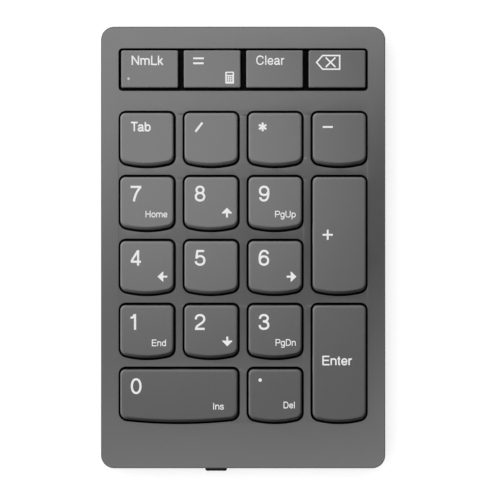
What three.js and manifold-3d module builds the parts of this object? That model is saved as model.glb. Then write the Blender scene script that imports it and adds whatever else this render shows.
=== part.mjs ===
// A slim wireless numeric keypad with 21 low-profile keys.
//
// Units are millimetres. +X is to the right, +Y to the rear, +Z up out of the key tops. The origin
// is the bottom centre of the bounding box, on the plane that the rubber feet rest on.
//
// Construction, from the bottom: rubber feet, bottom case, boards and battery, steel backing
// plate, three membrane layers, a silicone sheet of domes, a key guide frame with one square
// chimney for each key, the keycaps, and a top cover whose deck the keycaps stand through.

import * as THREE from "three";
import { mergeVertices } from "three/addons/utils/BufferGeometryUtils.js";
import Module from "manifold-3d";

const wasm = await Module();
wasm.setup();

// ---------------------------------------------------------------- driving dimensions

// Casing in plan
const CASE_WIDTH = 84.7;
const CASE_DEPTH = 131.6;
const CASE_CORNER = 3.9;
const CASE_WALL = 1.6;

// Key grid: five rows and four columns on the standard pitch
const PITCH = 19.05;
const GRID_CENTRE_Y = -5.95;
const OPENING_WIDTH = 16.96;
const OPENING_DEPTH = 17.07;
const OPENING_REAR_CORNER = 2.1;
const OPENING_FRONT_CORNER = 2.7;
const FRONT_ARC = 27; // radius of the curved front edge of a one-unit key
const WIDE_FRONT_ARC = 144; // the same on the double-width key

// Top row: four short keys in one shared window
const WINDOW_WIDTH = 74.15;
const WINDOW_DEPTH = 12.57;
const WINDOW_CORNER = 1.1;
const WINDOW_Y = 53;
const TOP_ROW_PITCH = 18.55;
const TOP_ROW_X = 0.08; // the row sits a little to the right in its window
const TOP_CAP_WIDTH = 16.9;
const TOP_CAP_DEPTH = 11.1;
const TOP_CAP_CORNER = 0.5;

// Heights
const FEET_HEIGHT = 1;
const CASE_BOTTOM = FEET_HEIGHT;
const FLOOR_TOP = 2.1;
const WALL_BOTTOM = 2.2;
const DECK_TOP = 8.2;
const DECK_THICKNESS = 1.2;
const DECK_BOTTOM = DECK_TOP - DECK_THICKNESS;
const CAP_TOP = DECK_TOP + 2;
const CAP_SKIRT_BOTTOM = 7.3;
const CAP_ROOF_BOTTOM = 9.2;
const KEY_TRAVEL = 2;

// Layers of the key assembly, each as bottom and top height
const PLATE = [2.9, 3.3];
const MEMBRANE_BOTTOM = [3.32, 3.44];
const MEMBRANE_SPACER = [3.46, 3.58];
const MEMBRANE_TOP = [3.6, 3.72];
const DOME_SHEET = [3.76, 4.16];
const GUIDE = [4.3, 5];
const STACK_HALF_WIDTH = 38;
const STACK_FRONT = -53.4;
const STACK_REAR = 58.2;

// Keycaps
const CAP_GAP = 0.5;
const CAP_WALL = 0.9;
const CAP_FRONT_WALL = 1.7; // thicker, behind the sloping and curved front face
const STEM = 6.8;
const STEM_WALL = 0.6;
const STEM_BOTTOM = 6.3;
const BARB = 0.4;
const BARB_WIDTH = 1.6;
const BARB_HEIGHT = 0.3;
const PLUNGER = 2.4;

// Guide chimneys and domes
const CHIMNEY_OUTER = 8.4;
const CHIMNEY_INNER = 7.2;
const CHIMNEY_TOP = 7;
const CHIMNEY_WINDOW_TOP = 6.65;
const DOME_TOP = 6.7;
const DOME_BASE_RADIUS = 2.6;
const DOME_TOP_RADIUS = 1.6;
const DOME_WALL = 0.4;

// Stabiliser wires of the three double-size keys
const WIRE_RADIUS = 0.3;
const WIRE_PIVOT_Z = 5.75;
const WIRE_PIVOT_OFFSET = 5.6;
const WIRE_ARM_REACH = 9;
const WIRE_HALF_SPAN = 13;
const WIRE_TIP = 2;

// Screws that hold the two halves of the casing together
const SCREW_SHANK_RADIUS = 0.7;
const SCREW_HEAD_RADIUS = 1.6;
const SCREW_HEAD_BOTTOM = 1.25;
const SCREW_HEAD_TOP = 2.25;
const SCREW_TIP = 6.2;
const SCREW_RECESS_TOP = 2.3;
const POST_RADIUS = 1.5;
const POST_BOTTOM = 3.3;
const BOSS_RADIUS = 2.3;
const BOSS_TOP = 3.2;
const SCREW_PLACES = [
  [-38.3, -61.8],
  [38.3, -61.8],
  [-38.9, 3.6],
  [38.9, 3.6],
  [-36.5, 62],
  [36.5, 62],
];

// The shallow recess for a label on the underside
const LABEL_WIDTH = 40;
const LABEL_DEPTH = 18;
const LABEL_Y = -20;

// Rubber feet
const FOOT_LENGTH = 16;
const FOOT_WIDTH = 6;
const FOOT_RECESS = 0.4;
const FOOT_X = 26;
const FOOT_Y = 58.5;

// Boards, port and power switch
const BOARD = [2.3, 3.1];
const BOARD_TOP = 3.12;
const USB_WIDTH = 8.94;
const USB_HEIGHT = 3.16;
const USB_CENTRE_Z = BOARD_TOP + USB_HEIGHT / 2;
const USB_FRONT = 59.6;
const USB_REAR = 65.6;
const FLEX_X = -6;
const FLEX_WIDTH = 6;
const TAIL_X = -2; // the membrane's tail and its socket
const FRONT_STRIP_Y = -58.8; // middle of the strip in front of the keys
const SWITCH_X = -8.1;
const SWITCH_TRAVEL = 2;
const SWITCH_Z = 4.4;
const KNOB_WIDTH = 6.5;
const KNOB_HEIGHT = 2;
const KNOB_STANDOFF = 0.15;
const KNOB_DEPTH = 0.95;
const NECK_WIDTH = 2.6;
const NECK_HEIGHT = 0.9;
const NECK_INNER_END = -61.6;

// The lock indicator: a window in the cap over a small lamp, measured from the cap's centre
const LAMP_OFFSET = [-6.27, -2.88];
const LAMP_WINDOW_RADIUS = 0.38;
const LAMP_HOLE_WIDTH = 2.6; // the clearance around the lamp in the layers over it
const LAMP_HOLE_DEPTH = 1.8;

// Smoothness of the round stretches
const CORNER_STEPS = 3;
const ARC_STEPS = 3;
const CASE_CORNER_STEPS = 4;

// ---------------------------------------------------------------- key layout

const columnX = (column) => (column - 1.5) * PITCH;
const rowY = (row) => GRID_CENTRE_Y + (2 - row) * PITCH;

// One main-grid key: its place, its size in whole units and its front curve.
function gridKey(name, column, row, columns = 1, rows = 1) {
  return {
    name,
    x: columnX(column) + ((columns - 1) * PITCH) / 2,
    y: rowY(row) - ((rows - 1) * PITCH) / 2,
    width: OPENING_WIDTH + (columns - 1) * PITCH,
    depth: OPENING_DEPTH + (rows - 1) * PITCH,
    frontArc: columns > 1 ? WIDE_FRONT_ARC : FRONT_ARC,
    stabilised: columns > 1 ? "along" : rows > 1 ? "across" : null,
  };
}

const GRID_KEYS = [
  gridKey("key_tab", 0, 0),
  gridKey("key_divide", 1, 0),
  gridKey("key_multiply", 2, 0),
  gridKey("key_minus", 3, 0),
  gridKey("key_7", 0, 1),
  gridKey("key_8", 1, 1),
  gridKey("key_9", 2, 1),
  gridKey("key_plus", 3, 1, 1, 2),
  gridKey("key_4", 0, 2),
  gridKey("key_5", 1, 2),
  gridKey("key_6", 2, 2),
  gridKey("key_1", 0, 3),
  gridKey("key_2", 1, 3),
  gridKey("key_3", 2, 3),
  gridKey("key_enter", 3, 3, 1, 2),
  gridKey("key_0", 0, 4, 2, 1),
  gridKey("key_decimal", 2, 4),
];

const TOP_KEYS = ["key_num_lock", "key_equals", "key_clear", "key_backspace"].map((name, i) => ({
  name,
  x: TOP_ROW_X + (i - 1.5) * TOP_ROW_PITCH,
  y: WINDOW_Y,
}));

const ALL_KEYS = [...TOP_KEYS, ...GRID_KEYS];
const STABILISED_KEYS = GRID_KEYS.filter((key) => key.stabilised);

// ---------------------------------------------------------------- solids

// A three.js geometry as a solid that can be joined and cut.
function solid(geometry) {
  const bare = geometry.clone();
  bare.deleteAttribute("normal");
  bare.deleteAttribute("uv");
  const merged = mergeVertices(bare, 1e-4);
  return new wasm.Manifold(
    new wasm.Mesh({
      numProp: 3,
      vertProperties: new Float32Array(merged.attributes.position.array),
      triVerts: new Uint32Array(merged.index.array),
    }),
  );
}

// A solid as a three.js geometry with flat shading.
function geometryOf(body) {
  const mesh = body.getMesh();
  const positions = new Float32Array(mesh.numVert * 3);
  for (let i = 0; i < mesh.numVert; i += 1) {
    const start = i * mesh.numProp;
    positions.set(mesh.vertProperties.subarray(start, start + 3), i * 3);
  }
  const indexed = new THREE.BufferGeometry();
  indexed.setAttribute("position", new THREE.BufferAttribute(positions, 3));
  indexed.setIndex(new THREE.BufferAttribute(new Uint32Array(mesh.triVerts), 1));
  const geometry = indexed.toNonIndexed();
  geometry.computeVertexNormals();
  return geometry;
}

const joinAll = (bodies) => bodies.reduce((sum, body) => sum.add(body));

// A box centred on x and y, from height z0 to z1.
function box(width, depth, [z0, z1], x = 0, y = 0) {
  const geometry = new THREE.BoxGeometry(width, depth, z1 - z0);
  return solid(geometry.translate(x, y, (z0 + z1) / 2));
}

// An upright round column, from height z0 to z1; the bottom radius may differ from the top one.
function column(radius, [z0, z1], x, y, sides = 12, bottomRadius = radius) {
  const geometry = new THREE.CylinderGeometry(radius, bottomRadius, z1 - z0, sides);
  geometry.rotateX(Math.PI / 2);
  return solid(geometry.translate(x, y, (z0 + z1) / 2));
}

// A closed solid through rings of 3-D points that all have the same number of points, each ring
// counter-clockwise seen from the last ring's end. endFaces gives the triangles that fill an end.
function skin(rings, endFaces) {
  const count = rings[0].length;
  const faces = [];
  for (let ring = 0; ring + 1 < rings.length; ring += 1) {
    for (let i = 0; i < count; i += 1) {
      const a = ring * count + i;
      const b = ring * count + ((i + 1) % count);
      faces.push(a, b, b + count, a, b + count, a + count);
    }
  }
  const last = (rings.length - 1) * count;
  endFaces(rings[0]).forEach(([a, b, c]) => faces.push(a, c, b));
  endFaces(rings.at(-1)).forEach(([a, b, c]) => faces.push(last + a, last + b, last + c));
  const positions = rings.flat().flatMap(({ x, y, z }) => [x, y, z]);
  const geometry = new THREE.BufferGeometry();
  geometry.setAttribute("position", new THREE.Float32BufferAttribute(positions, 3));
  geometry.setIndex(faces);
  return solid(geometry);
}

// A solid through stacked level outlines, listed from the bottom up as { z, points }.
function loft(levels) {
  const rings = levels.map(({ z, points }) => points.map(({ x, y }) => new THREE.Vector3(x, y, z)));
  return skin(rings, (ring) => THREE.ShapeUtils.triangulateShape(ring, []));
}

// A solid of one outline between two heights.
const prism = (points, [z0, z1]) => loft([{ z: z0, points }, { z: z1, points }]);

// Points of a circular arc, both ends included.
function arcPoints(x, y, radius, from, to, steps) {
  return Array.from({ length: steps + 1 }, (_, i) => {
    const angle = from + ((to - from) * i) / steps;
    return new THREE.Vector2(x + radius * Math.cos(angle), y + radius * Math.sin(angle));
  });
}

// A rectangle with round corners, drawn in from its edges by inset.
function roundedRectangle(width, depth, corner, inset = 0, x = 0, y = 0, steps = CORNER_STEPS) {
  const radius = Math.max(corner - inset, 0.05);
  const right = width / 2 - inset - radius;
  const rear = depth / 2 - inset - radius;
  const quarter = Math.PI / 2;
  return [
    ...arcPoints(x + right, y + rear, radius, 0, quarter, steps),
    ...arcPoints(x - right, y + rear, radius, quarter, 2 * quarter, steps),
    ...arcPoints(x - right, y - rear, radius, 2 * quarter, 3 * quarter, steps),
    ...arcPoints(x + right, y - rear, radius, 3 * quarter, 4 * quarter, steps),
  ];
}

// The outline of a main-grid key or of its opening: straight sides and rear, and a front edge that
// bulges forward on a wide arc. The three insets draw the sides, rear and front in separately.
function keyOutline(key, side, rear = side, front = side) {
  const halfWidth = key.width / 2 - side;
  const rearY = key.y + key.depth / 2 - rear;
  const frontY = key.y - key.depth / 2 + front;
  const rearRadius = OPENING_REAR_CORNER - side;
  const frontRadius = OPENING_FRONT_CORNER - side;
  const arcRadius = key.frontArc - side;
  const arcCentreY = frontY + arcRadius;
  const cornerX = halfWidth - frontRadius;
  const cornerDrop = Math.sqrt((arcRadius - frontRadius) ** 2 - cornerX ** 2);
  const cornerY = arcCentreY - cornerDrop;
  const bend = Math.atan2(cornerDrop, cornerX); // the turn from the side to the front arc
  const rearX = halfWidth - rearRadius;
  const rearCentreY = rearY - rearRadius;
  const quarter = Math.PI / 2;
  const front0 = Math.PI + bend;
  const front1 = 2 * Math.PI - bend;
  return [
    ...arcPoints(key.x + rearX, rearCentreY, rearRadius, 0, quarter, CORNER_STEPS),
    ...arcPoints(key.x - rearX, rearCentreY, rearRadius, quarter, Math.PI, CORNER_STEPS),
    ...arcPoints(key.x - cornerX, cornerY, frontRadius, Math.PI, front0, CORNER_STEPS),
    ...arcPoints(key.x, arcCentreY, arcRadius, front0, front1, ARC_STEPS).slice(1, -1),
    ...arcPoints(key.x + cornerX, cornerY, frontRadius, front1, 2 * Math.PI, CORNER_STEPS),
  ];
}

// The casing's plan outline, drawn in by inset.
const caseOutline = (inset) =>
  roundedRectangle(CASE_WIDTH, CASE_DEPTH, CASE_CORNER, inset, 0, 0, CASE_CORNER_STEPS);

// ---------------------------------------------------------------- casing

function topCover() {
  const chamfer = 0.3;
  const shell = loft([
    { z: WALL_BOTTOM, points: caseOutline(0) },
    { z: DECK_TOP - chamfer, points: caseOutline(0) },
    { z: DECK_TOP, points: caseOutline(chamfer) },
  ]);
  const hollow = prism(caseOutline(CASE_WALL), [WALL_BOTTOM - 1, DECK_BOTTOM]);
  const through = [DECK_BOTTOM - 1, DECK_TOP + 1];
  const window = roundedRectangle(WINDOW_WIDTH, WINDOW_DEPTH, WINDOW_CORNER, 0, 0, WINDOW_Y);
  const openings = GRID_KEYS.map((key) => prism(keyOutline(key, 0), through));
  const cover = shell.subtract(hollow).subtract(joinAll([prism(window, through), ...openings]));
  const posts = SCREW_PLACES.map(([x, y]) => screwPost(x, y));
  return joinAll([cover, ...deckWebs(), ...posts])
    .subtract(joinAll(SCREW_PLACES.map(([x, y]) => pilotHole(x, y))))
    .subtract(usbCutout())
    .subtract(switchSlot());
}

// A post under the deck that takes a casing screw, and the blind hole in it.
const screwPost = (x, y) => column(POST_RADIUS, [POST_BOTTOM, DECK_BOTTOM + 0.2], x, y, 8);
const pilotHole = (x, y) =>
  column(SCREW_SHANK_RADIUS + 0.05, [POST_BOTTOM - 1, SCREW_TIP + 0.3], x, y, 6);

// Stiffening webs under the bars between key rows, which also hold the guide frame down. A web
// stops short of the last column where a tall key crosses its line.
function deckWebs() {
  const webThickness = 1;
  const heights = [GUIDE[1] + 0.1, DECK_BOTTOM + 0.2];
  const left = -STACK_HALF_WIDTH + 0.5;
  const full = STACK_HALF_WIDTH - 0.5;
  const short = columnX(2) + PITCH / 2;
  const behindGrid = (WINDOW_Y - WINDOW_DEPTH / 2 + rowY(0) + OPENING_DEPTH / 2) / 2;
  const between = (row) => rowY(row) - PITCH / 2;
  const lines = [
    [behindGrid, full],
    [between(0), full],
    [between(1), short],
    [between(2), full],
    [between(3), short],
  ];
  return lines.map(([y, right]) =>
    box(right - left, webThickness, heights, (left + right) / 2, y),
  );
}

// The rounded slot in the rear wall for the charging port.
function usbCutout() {
  const clearance = 0.18;
  const width = USB_WIDTH + 2 * clearance;
  const height = USB_HEIGHT + 2 * clearance;
  const outline = roundedRectangle(width, height, height / 2 - 0.01, 0, 0, 0, 4);
  const depth = 2 * CASE_WALL;
  const geometry = solidRearward(outline, depth);
  return geometry.translate([0, CASE_DEPTH / 2 - CASE_WALL / 2 + depth / 2, USB_CENTRE_Z]);
}

// An outline drawn in X and Z, made solid from y = -depth to y = 0.
function solidRearward(outline, depth) {
  return prism(outline, [0, depth]).rotate([90, 0, 0]);
}

// The slot in the front wall that the switch knob's neck slides in.
function switchSlot() {
  const clearance = 0.2;
  const width = NECK_WIDTH + SWITCH_TRAVEL + 2 * clearance;
  const height = NECK_HEIGHT + 2 * clearance * 0.75;
  const heights = [SWITCH_Z - height / 2, SWITCH_Z + height / 2];
  return box(width, 3 * CASE_WALL, heights, SWITCH_X + SWITCH_TRAVEL / 2, -CASE_DEPTH / 2);
}

function bottomCase() {
  const reveal = 0.35;
  const chamfer = 0.5;
  const lipGap = 0.12;
  const lipThickness = 0.8;
  const slab = loft([
    { z: CASE_BOTTOM, points: caseOutline(reveal + chamfer) },
    { z: CASE_BOTTOM + chamfer, points: caseOutline(reveal) },
    { z: FLOOR_TOP, points: caseOutline(reveal) },
  ]);
  const lipOutline = caseOutline(CASE_WALL + lipGap);
  const lipInner = caseOutline(CASE_WALL + lipGap + lipThickness);
  const lip = prism(lipOutline, [FLOOR_TOP - 0.5, BOSS_TOP]).subtract(
    prism(lipInner, [FLOOR_TOP - 1, BOSS_TOP + 1]),
  );
  const portNotch = box(USB_WIDTH + 1.5, 6, [FLOOR_TOP, BOSS_TOP + 1], 0, CASE_DEPTH / 2);
  const inside = prism(lipOutline, [FLOOR_TOP - 0.5, BOSS_TOP]);
  const bosses = SCREW_PLACES.map(([x, y]) =>
    column(BOSS_RADIUS, [FLOOR_TOP - 0.5, BOSS_TOP], x, y, 10).intersect(inside),
  );
  const holes = SCREW_PLACES.flatMap(([x, y]) => [
    column(SCREW_HEAD_RADIUS + 0.2, [CASE_BOTTOM - 1, SCREW_RECESS_TOP], x, y, 12),
    column(SCREW_SHANK_RADIUS + 0.3, [CASE_BOTTOM, BOSS_TOP + 1], x, y, 8),
  ]);
  const recesses = footPlaces().map(([x, y]) =>
    prism(footOutline(x, y, -0.15), [CASE_BOTTOM - 1, CASE_BOTTOM + FOOT_RECESS]),
  );
  const label = roundedRectangle(LABEL_WIDTH, LABEL_DEPTH, 1.5, 0, 0, LABEL_Y);
  const labelRecess = prism(label, [CASE_BOTTOM - 1, CASE_BOTTOM + 0.2]);
  return joinAll([slab, lip.subtract(portNotch), ...bosses, ...plateRibs(), ...boardStandoffs()])
    .subtract(joinAll([...holes, ...recesses]))
    .subtract(labelRecess);
}

// Ribs on the floor that carry the backing plate, with a gap where the flat cable passes.
function plateRibs() {
  const ribWidth = 1.2;
  const halfLength = 36;
  const heights = [FLOOR_TOP - 0.5, PLATE[0] - 0.03];
  const gapLeft = FLEX_X - FLEX_WIDTH / 2 - 1;
  const gapRight = FLEX_X + FLEX_WIDTH / 2 + 1;
  return [52, 20, -15, -48].flatMap((y) => [
    box(gapLeft + halfLength, ribWidth, heights, (gapLeft - halfLength) / 2, y),
    box(halfLength - gapRight, ribWidth, heights, (gapRight + halfLength) / 2, y),
  ]);
}

// Short studs under the two boards.
function boardStandoffs() {
  const heights = [FLOOR_TOP - 0.5, BOARD[0] - 0.02];
  const places = [
    [-33.5, -61],
    [-33.5, -56.5],
    [3, -61],
    [3, -56.5],
    [-10.5, 61],
    [10.5, 61],
  ];
  return places.map(([x, y]) => column(1, heights, x, y, 8));
}

const footPlaces = () => [
  [-FOOT_X, FOOT_Y],
  [FOOT_X, FOOT_Y],
  [-FOOT_X, -FOOT_Y],
  [FOOT_X, -FOOT_Y],
];

const footOutline = (x, y, inset) =>
  roundedRectangle(FOOT_LENGTH, FOOT_WIDTH, FOOT_WIDTH / 2 - 0.01, inset, x, y, 3);

function rubberFoot(x, y) {
  const chamfer = 0.3;
  return loft([
    { z: 0, points: footOutline(x, y, chamfer) },
    { z: chamfer, points: footOutline(x, y, 0) },
    { z: CASE_BOTTOM + FOOT_RECESS - 0.03, points: footOutline(x, y, 0) },
  ]);
}

// A pan-head screw with a cross recess, driven up from below.
function caseScrew(x, y) {
  const head = column(SCREW_HEAD_RADIUS, [SCREW_HEAD_BOTTOM, SCREW_HEAD_TOP], x, y, 12);
  const shank = column(SCREW_SHANK_RADIUS, [SCREW_HEAD_TOP - 0.2, SCREW_TIP], x, y, 6);
  const slotDepths = [SCREW_HEAD_BOTTOM - 0.5, SCREW_HEAD_BOTTOM + 0.5];
  const cross = box(1.8, 0.4, slotDepths, x, y).add(box(0.4, 1.8, slotDepths, x, y));
  return head.add(shank).subtract(cross);
}

// ---------------------------------------------------------------- layers under the keys

// The plan outline that the plate, membranes, dome sheet and guide frame share. It is notched at
// both sides for the middle casing screws.
function stackSheet(heights, inset = 0) {
  const width = 2 * (STACK_HALF_WIDTH - inset);
  const depth = STACK_REAR - STACK_FRONT - 2 * inset;
  const sheet = box(width, depth, heights, 0, (STACK_FRONT + STACK_REAR) / 2);
  const notchDepth = 1.8 + inset;
  const notchWidth = 5.4 + 2 * inset;
  const tall = [heights[0] - 1, heights[1] + 1];
  const notches = [-1, 1].map((end) =>
    box(2 * notchDepth, notchWidth, tall, end * STACK_HALF_WIDTH, SCREW_PLACES[2][1]),
  );
  return sheet.subtract(joinAll(notches));
}

const lampPlace = () => [TOP_KEYS[0].x + LAMP_OFFSET[0], TOP_KEYS[0].y + LAMP_OFFSET[1]];

// What is cut out of a layer around the lamp.
const lampHole = ([z0, z1]) =>
  box(LAMP_HOLE_WIDTH, LAMP_HOLE_DEPTH, [z0 - 1, z1 + 1], ...lampPlace());

// The steel sheet that stiffens the assembly, with turned-up hold-down tabs at its front edge.
function backingPlate() {
  const heights = [PLATE[0], PLATE[1] + 0.8];
  const tabs = [-30, 30].map((x) => box(4, 0.6, heights, x, STACK_FRONT - 0.15));
  return joinAll([stackSheet(PLATE), ...tabs]);
}

// The lower printed layer, with the tail that plugs into the main board.
function membraneBottom() {
  const tailLength = 3.6;
  const tail = box(9, tailLength + 1, MEMBRANE_BOTTOM, TAIL_X, STACK_FRONT - tailLength / 2 + 0.5);
  return stackSheet(MEMBRANE_BOTTOM, 0.4).add(tail);
}

function membraneSpacer() {
  const contactRadius = 1.5;
  const through = [MEMBRANE_SPACER[0] - 1, MEMBRANE_SPACER[1] + 1];
  const holes = ALL_KEYS.map(({ x, y }) => column(contactRadius, through, x, y, 6));
  return stackSheet(MEMBRANE_SPACER, 0.4).subtract(joinAll(holes));
}

const membraneTop = () => stackSheet(MEMBRANE_TOP, 0.4);

// One silicone sheet with a hollow dome under each key, open from below.
function domeSheet() {
  const sides = 6;
  const rise = [DOME_SHEET[1] - 0.1, DOME_TOP];
  const hollowRise = [DOME_SHEET[0] - 0.5, DOME_TOP - DOME_WALL];
  const hollowBase = DOME_BASE_RADIUS - DOME_WALL;
  const hollowTop = DOME_TOP_RADIUS - DOME_WALL;
  const domes = ALL_KEYS.map(({ x, y }) =>
    column(DOME_TOP_RADIUS, rise, x, y, sides, DOME_BASE_RADIUS),
  );
  const hollows = ALL_KEYS.map(({ x, y }) =>
    column(hollowTop, hollowRise, x, y, sides, hollowBase),
  );
  return stackSheet(DOME_SHEET, 0.2)
    .add(joinAll(domes))
    .subtract(joinAll(hollows))
    .subtract(lampHole(DOME_SHEET));
}

// The moulded frame whose square chimneys guide the key stems. A window in two walls of each
// chimney holds the stem's barbs, so that a cap can't lift out.
function guideFrame() {
  const chimneys = ALL_KEYS.map(({ x, y }) =>
    box(CHIMNEY_OUTER, CHIMNEY_OUTER, [GUIDE[0], CHIMNEY_TOP], x, y),
  );
  const bores = ALL_KEYS.flatMap(({ x, y }) => [
    box(CHIMNEY_INNER, CHIMNEY_INNER, [GUIDE[0] - 1, CHIMNEY_TOP + 1], x, y),
    box(CHIMNEY_OUTER + 0.2, BARB_WIDTH + 0.6, [GUIDE[0] - 1, CHIMNEY_WINDOW_TOP], x, y),
  ]);
  const clips = STABILISED_KEYS.flatMap((key) => wireClips(key));
  return joinAll([stackSheet(GUIDE), ...chimneys])
    .subtract(joinAll(bores))
    .subtract(lampHole(GUIDE))
    .add(joinAll(clips));
}

// ---------------------------------------------------------------- stabilisers

// Turns a body drawn about the origin for a key that is wide in X to suit the key.
function placeOnKey(body, key) {
  const turned = key.stabilised === "across" ? body.rotate([0, 0, -90]) : body;
  return turned.translate([key.x, key.y, 0]);
}

// Two clips on the guide frame that a stabiliser wire turns in.
function wireClips(key) {
  const play = 0.05;
  const bore = 2 * (WIRE_RADIUS + play);
  const boreHeights = [WIRE_PIVOT_Z - bore / 2, WIRE_PIVOT_Z + bore / 2];
  return [-8, 8].map((x) => {
    const block = box(1.6, 1.5, [GUIDE[1] - 0.2, WIRE_PIVOT_Z + 0.7], x, WIRE_PIVOT_OFFSET);
    const hole = box(3, bore, boreHeights, x, WIRE_PIVOT_OFFSET);
    return placeOnKey(block.subtract(hole), key);
  });
}

// A round wire along points that lie in one plane, mitred at each bend.
function bentWire(points, planeNormal, radius) {
  const sides = 6;
  const heading = (i) => points[i + 1].clone().sub(points[i]).normalize();
  const rings = points.map((point, i) => {
    const before = heading(Math.max(i - 1, 0));
    const after = heading(Math.min(i, points.length - 2));
    const along = before.clone().add(after).normalize();
    const across = along.clone().cross(planeNormal).divideScalar(along.dot(after));
    return arcPoints(0, 0, radius, 0, 2 * Math.PI, sides)
      .slice(1)
      .map(({ x, y }) => point.clone().addScaledVector(planeNormal, x).addScaledVector(across, y));
  });
  const fan = (ring) => ring.slice(2).map((_, i) => [0, i + 1, i + 2]);
  return skin(rings, fan);
}

// A bent wire: a long bar that turns in the clips, two arms, and two tips held by the cap. The
// arms rise to the cap at rest and lie level with the bar when the key is down.
function stabiliserWire(key) {
  const tipZ = WIRE_PIVOT_Z + KEY_TRAVEL;
  const armY = WIRE_PIVOT_OFFSET - WIRE_ARM_REACH;
  const points = [
    [-WIRE_HALF_SPAN - WIRE_TIP, armY, tipZ],
    [-WIRE_HALF_SPAN, armY, tipZ],
    [-WIRE_HALF_SPAN, WIRE_PIVOT_OFFSET, WIRE_PIVOT_Z],
    [WIRE_HALF_SPAN, WIRE_PIVOT_OFFSET, WIRE_PIVOT_Z],
    [WIRE_HALF_SPAN, armY, tipZ],
    [WIRE_HALF_SPAN + WIRE_TIP, armY, tipZ],
  ];
  const planeNormal = new THREE.Vector3(0, KEY_TRAVEL, WIRE_ARM_REACH).normalize();
  const corners = points.map((point) => new THREE.Vector3(...point));
  return placeOnKey(bentWire(corners, planeNormal, WIRE_RADIUS), key);
}

// Two tabs under a double-size cap with a slot for each wire tip.
function wireTabs(key) {
  const tabX = WIRE_HALF_SPAN + WIRE_TIP - 0.7;
  const tabY = WIRE_PIVOT_OFFSET - WIRE_ARM_REACH;
  const tipZ = WIRE_PIVOT_Z + KEY_TRAVEL;
  const play = 0.05;
  return [-tabX, tabX].map((x) => {
    const tab = box(0.8, 2.4, [tipZ - 0.6, CAP_ROOF_BOTTOM + 0.1], x, tabY);
    const slotHeights = [tipZ - WIRE_RADIUS - play, tipZ + WIRE_RADIUS + 0.15];
    const slot = box(2, 1.4, slotHeights, x, tabY);
    return placeOnKey(tab.subtract(slot), key);
  });
}

// ---------------------------------------------------------------- keycaps

// The square stem, its two barbs and the plunger that presses the dome.
function stemParts(x, y) {
  const inner = STEM - 2 * STEM_WALL;
  const top = CAP_ROOF_BOTTOM + 0.1;
  const tube = box(STEM, STEM, [STEM_BOTTOM, top], x, y).subtract(
    box(inner, inner, [STEM_BOTTOM - 1, CAP_ROOF_BOTTOM], x, y),
  );
  const barbs = box(STEM + 2 * BARB, BARB_WIDTH, [STEM_BOTTOM, STEM_BOTTOM + BARB_HEIGHT], x, y);
  const hollow = box(inner, inner, [STEM_BOTTOM - 1, CAP_ROOF_BOTTOM], x, y);
  const plunger = box(PLUNGER, PLUNGER, [DOME_TOP + 0.04, top], x, y);
  return [tube, barbs.subtract(hollow), plunger];
}

// A main-grid cap. Its front face slopes much more than its other sides.
function gridCap(key) {
  const skirt = (inset) => keyOutline(key, CAP_GAP + inset);
  const drawn = (side, rear, front) =>
    keyOutline(key, CAP_GAP + side, CAP_GAP + rear, CAP_GAP + front);
  const shell = loft([
    { z: CAP_SKIRT_BOTTOM, points: skirt(0) },
    { z: DECK_TOP + 0.1, points: skirt(0) },
    { z: CAP_TOP - 0.2, points: drawn(0.15, 0.2, 0.85) },
    { z: CAP_TOP, points: drawn(0.35, 0.4, 1.05) },
  ]);
  const innerWidth = key.width - 2 * (CAP_GAP + CAP_WALL);
  const innerDepth = key.depth - 2 * CAP_GAP - CAP_WALL - CAP_FRONT_WALL;
  const innerY = key.y + (CAP_FRONT_WALL - CAP_WALL) / 2;
  const hollow = prism(
    roundedRectangle(innerWidth, innerDepth, 1.2, 0, key.x, innerY, 1),
    [CAP_SKIRT_BOTTOM - 1, CAP_ROOF_BOTTOM],
  );
  const tabs = key.stabilised ? wireTabs(key) : [];
  return joinAll([shell.subtract(hollow), ...stemParts(key.x, key.y), ...tabs]);
}

// A top-row cap: a plain rectangle with small corners.
function topCap({ x, y }) {
  const outline = (inset) =>
    roundedRectangle(TOP_CAP_WIDTH, TOP_CAP_DEPTH, TOP_CAP_CORNER, inset, x, y, 1);
  const shell = loft([
    { z: CAP_SKIRT_BOTTOM, points: outline(0) },
    { z: DECK_TOP + 0.1, points: outline(0) },
    { z: CAP_TOP - 0.2, points: outline(0.1) },
    { z: CAP_TOP, points: outline(0.3) },
  ]);
  const innerWidth = TOP_CAP_WIDTH - 2 * CAP_WALL;
  const innerDepth = TOP_CAP_DEPTH - 2 * CAP_WALL;
  const hollow = box(innerWidth, innerDepth, [CAP_SKIRT_BOTTOM - 1, CAP_ROOF_BOTTOM], x, y);
  return joinAll([shell.subtract(hollow), ...stemParts(x, y)]);
}

function numLockCap(key) {
  const [x, y] = lampPlace();
  return topCap(key).subtract(column(LAMP_WINDOW_RADIUS + 0.04, [8, 11], x, y, 10));
}

// The clear pin that carries the lamp's light to the top of the cap.
function lampWindow() {
  const [x, y] = lampPlace();
  const pin = column(LAMP_WINDOW_RADIUS, [8.6, CAP_TOP], x, y, 10);
  return pin.add(column(LAMP_WINDOW_RADIUS + 0.4, [8.6, CAP_ROOF_BOTTOM - 0.05], x, y, 10));
}

// ---------------------------------------------------------------- electronics

// The main board fills the left of the strip in front of the keys.
const mainBoard = () => box(40.5, 8.4, BOARD, -15.25, FRONT_STRIP_Y);
const usbBoard = () => box(24, 3, BOARD, 0, 61.7);
const flatCable = () => box(FLEX_WIDTH, 118, [FLOOR_TOP + 0.02, FLOOR_TOP + 0.14], FLEX_X, 2);

// A surface-mounted part: a block whose top edges are bevelled.
function boardPart(width, depth, height, x, y, edge) {
  const outline = (inset) => roundedRectangle(width, depth, edge, inset, x, y, 1);
  return loft([
    { z: BOARD_TOP, points: outline(0) },
    { z: BOARD_TOP + height - edge, points: outline(0) },
    { z: BOARD_TOP + height, points: outline(edge * 0.6) },
  ]);
}

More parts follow.
